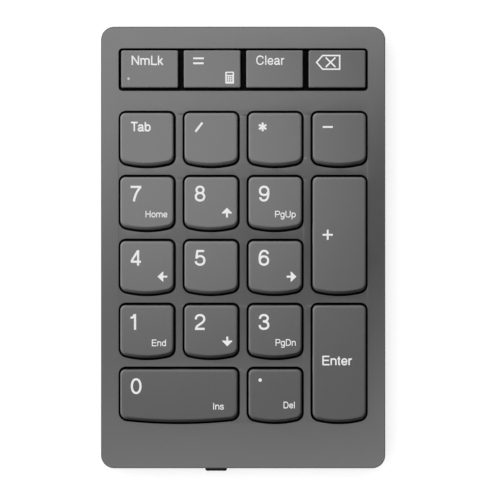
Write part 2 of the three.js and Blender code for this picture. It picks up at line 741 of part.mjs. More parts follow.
const radioShield = () => boardPart(13, 6.6, 1.5, -27, FRONT_STRIP_Y, 0.4);
const controllerChip = () => boardPart(5, 5, 0.8, -15.8, FRONT_STRIP_Y + 1, 0.1);

// The socket that clamps the membrane's tail, open underneath towards the keys.
function tailSocket() {
  const y = -57;
  const body = boardPart(12, 2.6, 1.2, TAIL_X, y, 0.15);
  const mouth = box(9.6, 2, [BOARD_TOP - 1, MEMBRANE_BOTTOM[1] + 0.08], TAIL_X, y + 0.6);
  return body.subtract(mouth);
}

// The lamp chip under the lock indicator. It stands on the upper membrane.
function lampChip() {
  const [x, y] = lampPlace();
  return box(1.6, 0.8, [MEMBRANE_TOP[1] + 0.03, MEMBRANE_TOP[1] + 0.7], x, y);
}

function batteryCell() {
  const outline = (inset) => roundedRectangle(26, 8.2, 0.8, inset, 22, FRONT_STRIP_Y, 2);
  const bottom = FLOOR_TOP + 0.2;
  const top = bottom + 3.9;
  const chamfer = 0.5;
  return loft([
    { z: bottom, points: outline(chamfer) },
    { z: bottom + chamfer, points: outline(0) },
    { z: top - chamfer, points: outline(0) },
    { z: top, points: outline(chamfer) },
  ]);
}

// A lead from the end of the battery down to the board.
function batteryLead(y) {
  const radius = 0.35;
  const path = new THREE.CatmullRomCurve3([
    new THREE.Vector3(8.85, y, 4.6),
    new THREE.Vector3(7.2, y, 4.7),
    new THREE.Vector3(5.6, y, 4.1),
    new THREE.Vector3(4.6, y, BOARD_TOP + radius + 0.1),
    new THREE.Vector3(2.8, y, BOARD_TOP + radius + 0.02),
  ]);
  const section = new THREE.Shape(arcPoints(0, 0, radius, 0, 2 * Math.PI, 6).slice(0, -1));
  return solid(
    new THREE.ExtrudeGeometry(section, { steps: 10, bevelEnabled: false, extrudePath: path }),
  );
}

// The charging port: a rounded metal sleeve with a contact tongue inside.
function usbReceptacle() {
  const sheet = 0.3;
  const length = USB_REAR - USB_FRONT;
  const sleeve = (inset) =>
    roundedRectangle(USB_WIDTH, USB_HEIGHT, USB_HEIGHT / 2 - 0.01, inset, 0, 0, 4);
  const outer = solidRearward(sleeve(0), length);
  const inner = solidRearward(sleeve(sheet), length - 0.8).translate([0, 0.1, 0]);
  const tongueLength = 4.9;
  const tongueY = -length + 0.6 + tongueLength / 2;
  const tongue = box(6.7, tongueLength, [-0.35, 0.35], 0, tongueY);
  return outer.subtract(inner).add(tongue).translate([0, USB_REAR, USB_CENTRE_Z]);
}

// The slide switch on the board. Its front is slotted for the knob's neck.
function switchBody() {
  const y = -61.4;
  const x = SWITCH_X + SWITCH_TRAVEL / 2;
  const body = box(7.6, 3, [BOARD_TOP, 5.3], x, y);
  const slotWidth = NECK_WIDTH + SWITCH_TRAVEL + 0.4;
  return body.subtract(
    box(slotWidth, 3, [SWITCH_Z - 0.55, SWITCH_Z + 0.55], x, NECK_INNER_END - 1.3),
  );
}

// The sliding knob: a paddle with rounded front corners, and a neck through the front wall.
function switchKnob() {
  const outerY = -CASE_DEPTH / 2 - KNOB_STANDOFF;
  const corner = 0.6;
  const paddleY = outerY - KNOB_DEPTH / 2;
  const heights = [SWITCH_Z - KNOB_HEIGHT / 2, SWITCH_Z + KNOB_HEIGHT / 2];
  const rounded = roundedRectangle(KNOB_WIDTH, 2 * KNOB_DEPTH, corner, 0, SWITCH_X, outerY);
  const paddle = prism(rounded, heights).intersect(
    box(KNOB_WIDTH + 1, KNOB_DEPTH, heights, SWITCH_X, paddleY),
  );
  const neckLength = NECK_INNER_END - outerY;
  const neckHeights = [SWITCH_Z - NECK_HEIGHT / 2, SWITCH_Z + NECK_HEIGHT / 2];
  const neckY = outerY + neckLength / 2;
  return paddle.add(box(NECK_WIDTH, neckLength + 0.2, neckHeights, SWITCH_X, neckY - 0.1));
}

// ---------------------------------------------------------------- materials

const material = (color, roughness, metalness = 0) =>
  new THREE.MeshStandardMaterial({ color, roughness, metalness });

const COVER_GREY = material(0x55565a, 0.45);
const CAP_GREY = material(0x4a4b4e, 0.55);
const CASE_GREY = material(0x3a3b3e, 0.6);
const DARK_RUBBER = material(0x1d1d1e, 0.9);
const SILICONE = material(0xc9cdd0, 0.6);
const GUIDE_BLACK = material(0x202124, 0.6);
const STEEL = material(0xb4b7ba, 0.35, 1);
const SCREW_BLACK = material(0x2b2b2d, 0.4, 1);
const POLYESTER = material(0xd8dcc8, 0.4);
const BOARD_GREEN = material(0x1f5a3a, 0.5);
const CHIP_BLACK = material(0x18181a, 0.5);
const CABLE_BLACK = material(0x1c1b1a, 0.4);
const CELL_SILVER = material(0xa9adb0, 0.4, 0.6);
const SOCKET_IVORY = material(0xd9d2c0, 0.6);
const LEAD_RED = material(0xa31f1a, 0.5);
const LEAD_BLACK = material(0x1a1a1c, 0.5);
const LAMP_CLEAR = material(0xf2f2ea, 0.2);

// ---------------------------------------------------------------- assembly

const keypad = new THREE.Group();

function addPiece(name, body, look) {
  const mesh = new THREE.Mesh(geometryOf(body), look);
  mesh.name = name;
  keypad.add(mesh);
}

addPiece("top_cover", topCover(), COVER_GREY);
addPiece("bottom_case", bottomCase(), CASE_GREY);
footPlaces().forEach(([x, y], i) => addPiece(`rubber_foot_${i + 1}`, rubberFoot(x, y), DARK_RUBBER));
SCREW_PLACES.forEach(([x, y], i) => addPiece(`case_screw_${i + 1}`, caseScrew(x, y), SCREW_BLACK));

addPiece("backing_plate", backingPlate(), STEEL);
addPiece("membrane_bottom_layer", membraneBottom(), POLYESTER);
addPiece("membrane_spacer", membraneSpacer(), POLYESTER);
addPiece("membrane_top_layer", membraneTop(), POLYESTER);
addPiece("dome_sheet", domeSheet(), SILICONE);
addPiece("key_guide_frame", guideFrame(), GUIDE_BLACK);

TOP_KEYS.forEach((key, i) => addPiece(key.name, i === 0 ? numLockCap(key) : topCap(key), CAP_GREY));
GRID_KEYS.forEach((key) => addPiece(key.name, gridCap(key), CAP_GREY));
STABILISED_KEYS.forEach((key) =>
  addPiece(key.name.replace("key_", "stabiliser_wire_"), stabiliserWire(key), STEEL),
);
addPiece("lock_lamp_window", lampWindow(), LAMP_CLEAR);
addPiece("lock_lamp", lampChip(), LAMP_CLEAR);

addPiece("main_board", mainBoard(), BOARD_GREEN);
addPiece("radio_shield", radioShield(), STEEL);
addPiece("controller_chip", controllerChip(), CHIP_BLACK);
addPiece("membrane_socket", tailSocket(), SOCKET_IVORY);
addPiece("battery_cell", batteryCell(), CELL_SILVER);
addPiece("battery_lead_positive", batteryLead(-59.4), LEAD_RED);
addPiece("battery_lead_negative", batteryLead(-61), LEAD_BLACK);
addPiece("usb_board", usbBoard(), BOARD_GREEN);
addPiece("usb_receptacle", usbReceptacle(), STEEL);
addPiece("flat_cable", flatCable(), CABLE_BLACK);
addPiece("power_switch_body", switchBody(), STEEL);
addPiece("power_switch_knob", switchKnob(), DARK_RUBBER);

// The knob stands out at the front only, so the casing sits a little to the rear of the origin.
keypad.position.y = (KNOB_STANDOFF + KNOB_DEPTH) / 2;

export default keypad;
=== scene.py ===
"""Looks of a slim numeric keypad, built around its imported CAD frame.

+X is right, +Y rear and +Z up. Shapes are drawn in millimetres, from the boxes of the CAD nodes,
and become meshes in the frame's metres. Lights and camera are placed in metres.
"""

import math

import bmesh
import bpy
import numpy as np
from mathutils import Matrix, Vector
from mathutils.geometry import convex_hull_2d, delaunay_2d_cdt


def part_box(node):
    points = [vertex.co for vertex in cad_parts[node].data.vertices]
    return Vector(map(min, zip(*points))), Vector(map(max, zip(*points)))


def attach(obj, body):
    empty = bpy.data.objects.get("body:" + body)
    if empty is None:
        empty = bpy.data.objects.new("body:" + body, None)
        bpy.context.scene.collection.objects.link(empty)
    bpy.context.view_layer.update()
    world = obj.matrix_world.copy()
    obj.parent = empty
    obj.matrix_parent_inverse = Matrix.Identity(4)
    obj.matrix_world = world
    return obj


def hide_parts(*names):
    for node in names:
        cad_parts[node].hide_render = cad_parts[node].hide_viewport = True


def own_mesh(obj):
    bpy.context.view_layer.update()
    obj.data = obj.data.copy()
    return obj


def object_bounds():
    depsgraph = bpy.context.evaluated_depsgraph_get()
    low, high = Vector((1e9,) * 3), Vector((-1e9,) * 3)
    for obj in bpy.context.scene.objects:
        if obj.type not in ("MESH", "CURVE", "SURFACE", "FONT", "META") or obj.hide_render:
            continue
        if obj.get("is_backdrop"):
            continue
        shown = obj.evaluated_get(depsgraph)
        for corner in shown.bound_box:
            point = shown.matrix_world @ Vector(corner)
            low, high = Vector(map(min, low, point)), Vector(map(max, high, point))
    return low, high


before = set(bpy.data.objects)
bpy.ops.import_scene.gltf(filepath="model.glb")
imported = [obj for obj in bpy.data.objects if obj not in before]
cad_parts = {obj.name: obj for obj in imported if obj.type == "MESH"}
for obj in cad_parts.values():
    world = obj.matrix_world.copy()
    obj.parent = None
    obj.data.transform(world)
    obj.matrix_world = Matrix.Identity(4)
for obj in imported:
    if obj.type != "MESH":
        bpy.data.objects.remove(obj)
cad_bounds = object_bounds()

SCENE = bpy.context.scene
MM = 0.001
QUARTER = math.pi / 2
SPARED = []  # what the lamps leave alone: the white floor and legends, and the glossy deck

# -------- shared sizes

PITCH = 19.05
OPENING_WIDTH = 16.96
OPENING_DEPTH = 17.07
OPENING_REAR_CORNER = 2.1
OPENING_FRONT_CORNER = 2.7
FRONT_ARC = 27
WIDE_FRONT_ARC = 144
WINDOW_SIZE = (74.15, 12.57)
WINDOW_CORNER = 1.1
CAP_GAP = 0.5
REAR_GAP = 0.62
CAP_CROWN = 0.03
CAP_WALL = 0.9
TOP_CAP_CORNER = 0.5
CASE_CORNER = 3.9
CASE_WALL = 1.6
DECK_THICKNESS = 1.2


def extent(node):
    """Low and high corners of a CAD node's box, in millimetres."""
    return [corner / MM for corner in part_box(node)]


def middle(node):
    low, high = extent(node)
    return (low + high) / 2


COVER_LOW, COVER_HIGH = extent("top_cover")
CASE_SIZE = COVER_HIGH - COVER_LOW
CASE_CENTRE = middle("top_cover")
DECK_TOP = COVER_HIGH.z
FLOOR_BOTTOM = extent("bottom_case")[0].z
FLOOR_TOP = FLOOR_BOTTOM + 1.1
BOSS_TOP = extent("bottom_case")[1].z
FEET = [f"rubber_foot_{i}" for i in range(1, 5)]
SCREWS = [f"case_screw_{i}" for i in range(1, 7)]
PORT = "usb_receptacle"
KNOB = "power_switch_knob"
TOP_KEYS = ["key_num_lock", "key_equals", "key_clear", "key_backspace"]


class Key:
    """A key's place and size: those of its cap in the top row, of its opening in the grid."""

    def __init__(self, node):
        low, high = extent(node)
        size = high - low
        columns, rows = round(size.x / PITCH), round(size.y / PITCH)
        self.node = node
        self.in_top_row = node in TOP_KEYS
        self.long = columns + rows > 2
        self.x = (low.x + high.x) / 2
        self.bottom = DECK_TOP - 0.9
        self.top = high.z
        if self.in_top_row:
            self.width, self.depth = size.xy
            self.y = (low.y + high.y) / 2
        else:
            self.width = OPENING_WIDTH + (columns - 1) * PITCH
            self.depth = OPENING_DEPTH + (rows - 1) * PITCH
            self.y = high.y + CAP_GAP - self.depth / 2
            self.arc = WIDE_FRONT_ARC if columns > 1 else FRONT_ARC
            self.arc_steps = 12 * columns


CAPS = [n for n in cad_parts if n.startswith("key_") and n != "key_guide_frame"]
GRID_KEYS = [n for n in CAPS if n not in TOP_KEYS]
KEYS = {node: Key(node) for node in TOP_KEYS + GRID_KEYS}

# -------- outlines


def arc(x, y, radius, start, end, steps):
    """Points of a circular arc with both ends, as an (n, 2) array."""
    angles = np.linspace(start, end, steps + 1)
    return np.stack([x + radius * np.cos(angles), y + radius * np.sin(angles)], axis=1)


def disc(x, y, radius, sides=24):
    return arc(x, y, radius, 0, 4 * QUARTER, sides)[:-1]


def turned(x, y, profile, sides=24):
    """Levels of a round piece about an upright axis, from (radius, height) pairs."""
    return [(disc(x, y, radius, sides), z) for radius, z in profile]


def rectangle(x0, y0, x1, y1):
    return np.array([(x0, y0), (x1, y0), (x1, y1), (x0, y1)])


def joined(arcs, side_steps):
    """One closed outline from arcs, with so many even steps on the straight side after each."""
    pieces = []
    for this, following, steps in zip(arcs, arcs[1:] + arcs[:1], side_steps):
        shares = np.linspace(0, 1, steps + 1)[1:-1, None]
        pieces += [this, this[-1] + (following[0] - this[-1]) * shares]
    return np.concatenate(pieces)


def rounded(x, y, width, depth, corner, inset=0.0, steps=8, sides=(1, 1)):
    """A rectangle with round corners, drawn in from its edges by inset, counter-clockwise."""
    radius = max(corner - inset, 0.03)
    right = width / 2 - inset - radius
    rear = depth / 2 - inset - radius
    corners = [
        arc(x + i * right, y + j * rear, radius, turn * QUARTER, (turn + 1) * QUARTER, steps)
        for turn, (i, j) in enumerate([(1, 1), (-1, 1), (-1, -1), (1, -1)])
    ]
    return joined(corners, (*sides, *sides))


def key_outline(key, side, rear, front, sides=(1, 1)):
    """A grid key's opening drawn in at its sides, rear and front: the sides and the rear are
    straight, and the front bulges on a wide arc."""
    corner_steps = 8
    rear_radius = OPENING_REAR_CORNER - side
    front_radius = OPENING_FRONT_CORNER - side
    arc_radius = key.arc - side
    rear_x = key.width / 2 - side - rear_radius
    rear_y = key.y + key.depth / 2 - rear - rear_radius
    front_x = key.width / 2 - side - front_radius
    arc_y = key.y - key.depth / 2 + front + arc_radius
    drop = math.sqrt((arc_radius - front_radius) ** 2 - front_x ** 2)
    turn = math.atan2(drop, front_x)
    start, end = 2 * QUARTER + turn, 4 * QUARTER - turn
    arcs = [
        arc(key.x + rear_x, rear_y, rear_radius, 0, QUARTER, corner_steps),
        arc(key.x - rear_x, rear_y, rear_radius, QUARTER, 2 * QUARTER, corner_steps),
        arc(key.x - front_x, arc_y - drop, front_radius, 2 * QUARTER, start, corner_steps),
        arc(key.x, arc_y, arc_radius, start, end, key.arc_steps)[1:-1],
        arc(key.x + front_x, arc_y - drop, front_radius, end, 4 * QUARTER, corner_steps),
    ]
    return joined(arcs, (sides[0], sides[1], 1, 1, sides[1]))


def case_outline(inset):
    return rounded(*CASE_CENTRE.xy, *CASE_SIZE.xy, CASE_CORNER, inset, steps=12)


def fillet(radius, steps):
    """(inset, drop) pairs of a quarter round from a vertical wall's top to a flat face."""
    turns = np.linspace(0, QUARTER, steps + 1)
    return [(radius * (1 - math.cos(a)), radius * (1 - math.sin(a))) for a in turns]


# -------- mesh building


class Builder:
    """Collects vertices and faces, and turns them into one mesh object."""

    def __init__(self):
        self.vertices = []
        self.faces = []

    def ring(self, points, z):
        """Adds a level ring of points and returns its vertex indices. z may vary by point."""
        start = len(self.vertices)
        heights = np.broadcast_to(z, (len(points),))
        self.vertices.extend((p[0], p[1], h) for p, h in zip(points, heights))
        return list(range(start, len(self.vertices)))

    def band(self, lower, upper):
        """Joins two rings of equal length, facing outwards when both run anticlockwise."""
        for i, start in enumerate(lower):
            j = (i + 1) % len(lower)
            self.faces.append((start, lower[j], upper[j], upper[i]))

    def cap(self, ring, up=True):
        self.faces.append(tuple(ring) if up else tuple(reversed(ring)))

    def stack(self, levels, close=True):
        """A closed column through (points, z) levels, from its first cap to its last."""
        rings = [self.ring(points, z) for points, z in levels]
        for lower, upper in zip(rings, rings[1:]):
            self.band(lower, upper)
        if close:
            self.cap(rings[0], up=False)
            self.cap(rings[-1])
        return rings

    def hoop(self, levels):
        """A closed ring-shaped solid: its levels go up the outside and come down the inside."""
        rings = self.stack(levels, close=False)
        self.band(rings[-1], rings[0])

    def plate(self, outer, holes, up=True):
        """Fills the flat face between one outer ring and hole rings, all already added."""
        loops = [outer, *holes]
        indices = [i for loop in loops for i in loop]
        flat = [Vector(self.vertices[i][:2]) for i in indices]
        polygons, start = [], 0
        for loop in loops:
            polygons.append(list(range(start, start + len(loop))))
            start += len(loop)
        _, _, triangles, origin, _, inside = delaunay_2d_cdt(flat, [], polygons, 0, 1e-6)
        for triangle, owners in zip(triangles, inside):
            if owners == [0]:
                self.cap([indices[origin[i][0]] for i in triangle], up)

    def box(self, centre, size, bevel=0.0):
        """A block with rounded upright edges, whose two ends may be bevelled."""
        x, y, z = centre
        width, depth, height = size
        end = height / 2
        levels = [(0, -end), (0, end)]
        if bevel:
            crest = bevel * 0.3
            levels = [(bevel, -end), (0, bevel - end), (0, end - bevel), (crest, end - crest), (bevel, end)]
        corner = max(bevel, 0.02)
        self.stack([
            (rounded(x, y, width, depth, corner, inset, 3), z + rise)
            for inset, rise in levels
        ])

    def object(self, name, smooth=True):
        mesh = bpy.data.meshes.new(name)
        mesh.from_pydata((np.array(self.vertices) * MM).tolist(), [], self.faces)
        mesh.validate()
        mesh.update()
        if smooth:
            mesh.shade_smooth()
        thing = bpy.data.objects.new(name, mesh)
        SCENE.collection.objects.link(thing)
        return thing


def shade(thing, sharp_degrees=50):
    """Keeps flat faces flat and round edges round."""
    thing.data.set_sharp_from_angle(angle=math.radians(sharp_degrees))
    modifier = thing.modifiers.new("weighted_normals", "WEIGHTED_NORMAL")
    modifier.keep_sharp = True
    modifier.weight = 100
    return thing


def merge(thing, other):
    """Adds another object's mesh to thing and removes the other object."""
    both = bmesh.new()
    both.from_mesh(thing.data)
    both.from_mesh(other.data)
    both.to_mesh(thing.data)
    both.free()
    bpy.data.objects.remove(other)


def stand_up(thing):
    """Turns a mesh built upright so that its own height runs towards -Y and its Y runs up."""
    thing.data.transform(Matrix.Rotation(QUARTER, 4, "X"))
    return thing


def prism(points, z0, z1):
    """A closed straight solid of one outline, used as a cutter."""
    b = Builder()
    b.stack([(points, z0), (points, z1)])
    return b.object("cutter", smooth=False)


def carve(thing, cutters):
    """Cuts closed cutter objects out of thing and removes them."""
    for cutter in cutters:
        modifier = thing.modifiers.new("cut", "BOOLEAN")
        modifier.operation = "DIFFERENCE"
        modifier.solver = "EXACT"
        modifier.object = cutter
    graph = bpy.context.evaluated_depsgraph_get()
    result = bpy.data.meshes.new_from_object(thing.evaluated_get(graph))
    thing.modifiers.clear()
    thing.data = result
    for cutter in cutters:
        bpy.data.objects.remove(cutter)
    return thing


def paint(thing, material):
    thing.data.materials.clear()
    thing.data.materials.append(material)


def dress(thing, material, node=None, body="chassis"):
    """Gives a piece its material and its body, and hides the CAD node it stands for."""
    paint(thing, material)
    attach(thing, body)
    if node:
        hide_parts(node)


# -------- materials


class Nodes:
    """A short way to write the node tree of a material or a world."""

    def __init__(self, owner):
        owner.use_nodes = True
        self.owner = owner
        self.tree = owner.node_tree
        self.coordinates = self.add("TexCoord").outputs

    def feed(self, socket, value):
        """Gives a socket another node's output, a number or a colour, a lone number for a grey."""
        if isinstance(value, bpy.types.NodeSocket):
            self.tree.links.new(value, socket)
        elif socket.type == "RGBA":
            socket.default_value = (*np.broadcast_to(value, 3), 1)
        else:
            socket.default_value = value

    def add(self, kind, inputs=(), **settings):
        node = self.tree.nodes.new("ShaderNode" + kind)
        for key, value in settings.items():
            setattr(node, key, value)
        for key, value in inputs.items() if isinstance(inputs, dict) else enumerate(inputs):
            self.feed(node.inputs[key], value)
        return node

    def noise(self, scale, detail=2.0, roughness=0.5, vector=None):
        vector = self.coordinates["Object"] if vector is None else vector
        inputs = {"Scale": scale, "Detail": detail, "Roughness": roughness, "Vector": vector}
        return self.add("TexNoise", inputs).outputs["Fac"]

    def span(self, source, low, high, from_low=0.0, from_high=1.0, **settings):
        inputs = (source, from_low, from_high, low, high)
        return self.add("MapRange", inputs, **settings).outputs["Result"]

    def mix(self, factor, first, second):
        return self.add("Mix", {0: factor, 6: first, 7: second}, data_type="RGBA").outputs[2]

    def math(self, operation, *values):
        return self.add("Math", values, operation=operation).outputs[0]

    def split(self, vector):
        return self.add("SeparateXYZ", (vector,)).outputs

    def set(self, bump=None, **values):
        """Sets the surface's sockets. bump is a height, a strength and a depth in millimetres."""
        surface = self.tree.nodes["Principled BSDF"].inputs
        for key, value in values.items():
            self.feed(surface[key.replace("_", " ")], value)
        if bump:
            height, strength, depth = bump
            inputs = {"Strength": strength, "Distance": depth * MM, "Height": height}
            self.feed(surface["Normal"], self.add("Bump", inputs).outputs["Normal"])
        return self.owner


def new_material(name):
    return Nodes(bpy.data.materials.new(name))


def plastic(name, colour, rough, grain_size=0.12, grain=0.2, shine=0.5, coat=False, painted_shade_heights=None):
    """Moulded plastic with a fine grain, faint clouds and uneven gloss. Coat lacquers level faces.
    Given a pair of heights, the colour fades down to black between them, towards the bottom: painted shade
    on the lower walls."""
    n = new_material(name)
    cloud = n.noise(60, 3)
    fine = n.noise(1 / (grain_size * MM), 2, 0.6)
    smudge = n.noise(140, 4, 0.6)
    darker, lighter = np.multiply(colour, 0.95), np.multiply(colour, 1.05)
    speck = n.mix(n.span(fine, 0, 1, 0.35, 0.65), darker, lighter)
    base = n.mix(n.span(cloud, 0.25, 0.75), speck, colour)
    # painted shade: the walls grow darker towards their bottom, down to black, where shade falls between
    # the parts
    if painted_shade_heights:
        low, high = painted_shade_heights
        height = n.split(n.coordinates["Object"])["Z"]
        base = n.mix(n.span(height, 0, 1, low * MM, high * MM), 0.002, base)
    if coat:
        facing = n.split(n.add("NewGeometry").outputs["Normal"])["Z"]
        level = n.span(facing, 0, 1, 0.9, 0.99)
        n.set(Coat_Weight=level, Coat_Roughness=n.span(smudge, 0.13, 0.18), Coat_IOR=1.9)
    roughness = n.span(smudge, rough - 0.02, rough + 0.03, 0.3, 0.7)
    return n.set((fine, grain, 0.02), Base_Color=base, Roughness=roughness, Specular_IOR_Level=shine)


def clouded(name, noise, first, second, rough, blend=None, bump=None, **values):
    """A material whose colour and gloss drift together. bump is a noise, a strength and a depth."""
    n = new_material(name)
    drift = n.noise(*noise)
    base = n.mix(n.span(drift, *blend) if blend else drift, first, second)
    relief = bump and (n.noise(*bump[0]), *bump[1:])
    return n.set(relief, Base_Color=base, Roughness=n.span(drift, *rough), **values)


def brushed(name, colour, rough, along="x", grain=2500):
    """Sheet or wire with a fine brushed grain along one axis."""
    n = new_material(name)
    scale = (0.02, 1, 1) if along == "x" else (1, 0.02, 1)
    stretched = n.add("Mapping", {"Vector": n.coordinates["Object"], "Scale": scale})
    lines = n.noise(grain, 3, 0.6, stretched.outputs["Vector"])
    base = n.mix(lines, np.multiply(colour, 0.85), colour)
    roughness = n.span(lines, rough - 0.08, rough + 0.1)
    return n.set((lines, 0.15, 0.01), Base_Color=base, Metallic=1.0, Roughness=roughness)


def printed_film():
    """Polyester film printed with rows of silver tracks."""
    n = new_material("track_film")
    inputs = {"Scale": 1 / (24 * MM), "Distortion": 2.0, "Detail Scale": 20}
    inputs["Vector"] = n.coordinates["Object"]
    wave = n.add("TexWave", inputs, wave_type="BANDS", bands_direction="X")
    tracks = n.span(wave.outputs["Fac"], 0, 1, 0.86, 0.9)
    base = n.mix(tracks, (0.62, 0.64, 0.55), 0.5)
    roughness = n.span(n.noise(200, 2), 0.2, 0.35)
    return n.set(Base_Color=base, Roughness=roughness, Metallic=n.span(tracks, 0, 0.6))


def circuit_board():
    """Solder mask with copper tracks showing faintly under it."""
    n = new_material("circuit_board")
    inputs = {"Scale": 600, "Vector": n.coordinates["Object"]}
    cells = n.add("TexVoronoi", inputs, feature="DISTANCE_TO_EDGE")
    track = n.span(cells.outputs["Distance"], 1, 0, 0.02, 0.06)
    mask = n.mix(n.noise(300, 2), (0.004, 0.035, 0.016), (0.006, 0.045, 0.02))
    base = n.mix(track, mask, (0.01, 0.07, 0.03))
    return n.set((track, 0.3, 0.03), Base_Color=base, Roughness=0.3)


DECK_PAINT = plastic("deck_paint", 0.044, 0.4, 0.1, 0.12, shine=0.15, coat=True)
# the caps' walls are painted darker towards the deck, as painted shade in the gaps round the caps
CAP_PLASTIC = plastic("cap_plastic", 0.034, 0.45, 0.08, 0.15, painted_shade_heights=(8.6, 9.7))
# near black: bare inside plastic, and painted shade in the key openings
BARE_AND_SHADED_PLASTIC = plastic("bare_and_shaded_plastic", 0.002, 0.7, 0.2, 0.3, shine=0.05)
CASE_PLASTIC = plastic("case_plastic", (0.03, 0.03, 0.031), 0.55, 0.3, 0.6)
KNOB_PLASTIC = plastic("knob_plastic", 0.002, 0.5, 0.1, 0.2, shine=0.2)
# near black: black plastic, and painted shade seen through the gaps round the caps
GUIDE_AND_SHADE_PLASTIC = plastic("guide_and_shade_plastic", 0.0012, 0.7, 0.2, 0.3, shine=0.02)
TONGUE_PLASTIC = plastic("tongue_plastic", 0.01, 0.5, 0.1, 0.2)
CHIP_RESIN = plastic("chip_resin", (0.012, 0.012, 0.013), 0.5, 0.08, 0.3)
SOCKET_IVORY = plastic("socket_ivory", (0.62, 0.57, 0.45), 0.5)
RED_INSULATION = plastic("red_insulation", (0.45, 0.02, 0.015), 0.4)
BLACK_INSULATION = plastic("black_insulation", 0.012, 0.4)
DARK_FILM = plastic("dark_film", (0.012, 0.012, 0.011), 0.25, 0.3, 0.1)
PLAIN_FILM = plastic("plain_film", (0.55, 0.57, 0.5), 0.25, 0.5, 0.05)
TRACK_FILM = printed_film()
BOARD_MASK = circuit_board()
INK = clouded("legend_ink", (9000, 2), 0.86, 0.94, (0.4, 0.55), (0, 1, 0.3, 0.7))
LENS = clouded("clear_lens", (3000, 2), (0.094, 0.095, 0.094), (0.118, 0.119, 0.118), (0.1, 0.25))
FOIL = clouded(
    "battery_foil", (500, 5, 0.7), (0.55, 0.56, 0.58), (0.72, 0.73, 0.75), (0.25, 0.5),
    bump=((500, 5, 0.7), 0.4, 0.1), Metallic=0.9,
)
FOOT_RUBBER = clouded(
    "foot_rubber", (400, 4, 0.7), 0.018, 0.0488, (0.7, 0.85), (0, 0.35, 0.5, 0.8),
    bump=((5000, 3, 0.6), 0.3, 0.03),
)
SILICONE = clouded(
    "silicone", (300, 3), (0.62, 0.64, 0.66), (0.74, 0.76, 0.77), (0.45, 0.6),
    bump=((4000, 2), 0.1, 0.02), Subsurface_Weight=0.25, Subsurface_Radius=(MM, MM, MM),
)
SHEET_STEEL = brushed("sheet_steel", (0.56, 0.57, 0.58), 0.32)
WIRE_STEEL = brushed("wire_steel", 0.6, 0.25)
SCREW_STEEL = brushed("screw_steel", (0.08, 0.08, 0.085), 0.35, grain=6000)
PORT_STEEL = brushed("port_steel", (0.62, 0.62, 0.63), 0.25, along="y")
CONTACT_GOLD = brushed("contact_gold", (0.75, 0.5, 0.18), 0.25, along="y")

# -------- casing


def build_deck():
    """The top cover: deck with its openings, side walls, webs and screw posts."""
    floor, deck_bottom = COVER_LOW.z, DECK_TOP - DECK_THICKNESS
    edge, hole_edge, rim = 0.3, 0.12, 0.15
    b = Builder()
    walls = [
        (case_outline(CASE_WALL), deck_bottom), (case_outline(CASE_WALL), floor),
        (case_outline(rim), floor), (case_outline(0), floor + rim),
    ]
    walls += [(case_outline(inset), DECK_TOP - drop) for inset, drop in fillet(edge, 5)]
    wall_rings = b.stack(walls, close=False)

    def window(inset):
        y = KEYS[TOP_KEYS[0]].y
        return rounded(CASE_CENTRE.x, y, *WINDOW_SIZE, WINDOW_CORNER, inset, steps=6)

    outlines = [lambda i, key=KEYS[node]: key_outline(key, i, i, i) for node in GRID_KEYS]
    top_holes, bottom_holes = [], []
    for outline in [*outlines, window]:
        levels = [(outline(0), deck_bottom)]
        levels += [(outline(-inset), DECK_TOP - drop) for inset, drop in fillet(hole_edge, 3)]
        rings = b.stack([(points[::-1], z) for points, z in levels], close=False)
        bottom_holes.append(rings[0][::-1])
        top_holes.append(rings[-1][::-1])
    b.plate(wall_rings[-1], top_holes)
    b.plate(wall_rings[0], bottom_holes, up=False)
    add_webs(b, deck_bottom)
    for node in SCREWS:
        low, high = extent(node)
        foot, bore_top = low.z + 2.05, high.z + 0.3
        post = [(0.75, bore_top), (0.75, foot), (1.5, foot), (1.5, deck_bottom + 0.05)]
        b.stack(turned(*middle(node).xy, post))
    deck = carve(b.object("deck_shell"), wall_cutters())
    for face in deck.data.polygons:
        face.use_smooth = face.center.z / MM < DECK_TOP - 0.001
    shade(deck, 35)
    dress(deck, DECK_PAINT, "top_cover")
    # the opening walls are near black: bare plastic, and painted shade in the gaps round the caps
    make_inside_bare_and_shaded(deck, 0, DECK_TOP - hole_edge)
    SPARED.append(deck)


def make_inside_bare_and_shaded(thing, low, high):
    """Leaves a casing half's faces between two heights bare, away from its outer walls: near-black
    unpainted plastic that is also painted shade inside the key openings.
    """
    thing.data.materials.append(BARE_AND_SHADED_PLASTIC)
    for face in thing.data.polygons:
        x, y, z = face.center / MM
        across, along = abs(x - CASE_CENTRE.x), abs(y - CASE_CENTRE.y)
        within = across < CASE_SIZE.x / 2 - 1 and along < CASE_SIZE.y / 2 - 1
        if within and low < z < high:
            face.material_index = 1


def add_webs(b, deck_bottom):
    """Stiffening webs under the bars between key rows."""
    guide_low, guide_high = extent("key_guide_frame")
    low, left, full = guide_low.z + 0.8, guide_low.x + 0.5, guide_high.x - 0.5
    short = (KEYS["key_9"].x + KEYS["key_plus"].x) / 2
    rows = [KEYS[n].y for n in ("key_clear", "key_tab", "key_7", "key_4", "key_1", "key_0")]
    height = deck_bottom + 0.05 - low
    for rear, front, right in zip(rows, rows[1:], (full, full, short, full, short)):
        centre = ((left + right) / 2, (rear + front) / 2, low + height / 2)
        b.box(centre, (right - left, 1, height))


def wall_cutters():
    """Closed prisms along Y that open the rear wall for the port and the front for the knob."""
    low, high = extent(PORT)
    play = 0.18
    size = (high.x - low.x + 2 * play, high.z - low.z + 2 * play)
    port = rounded(*middle(PORT).xz, *size, size[1] / 2, 0, 10)
    slot = rounded(middle("power_switch_body").x, middle(KNOB).z, 5, 1.2, 0.3, 0, 10)
    rear, front = -COVER_HIGH.y, -COVER_LOW.y
    return [
        stand_up(prism(port, rear - 1, rear + 2 * CASE_WALL)),
        stand_up(prism(slot, front - 2 * CASE_WALL, front + 1)),
    ]


def foot_outline(node, inset):
    low, high = extent(node)
    width, depth = (high - low).xy
    return rounded(*middle(node).xy, width, depth, depth / 2, inset, 8)


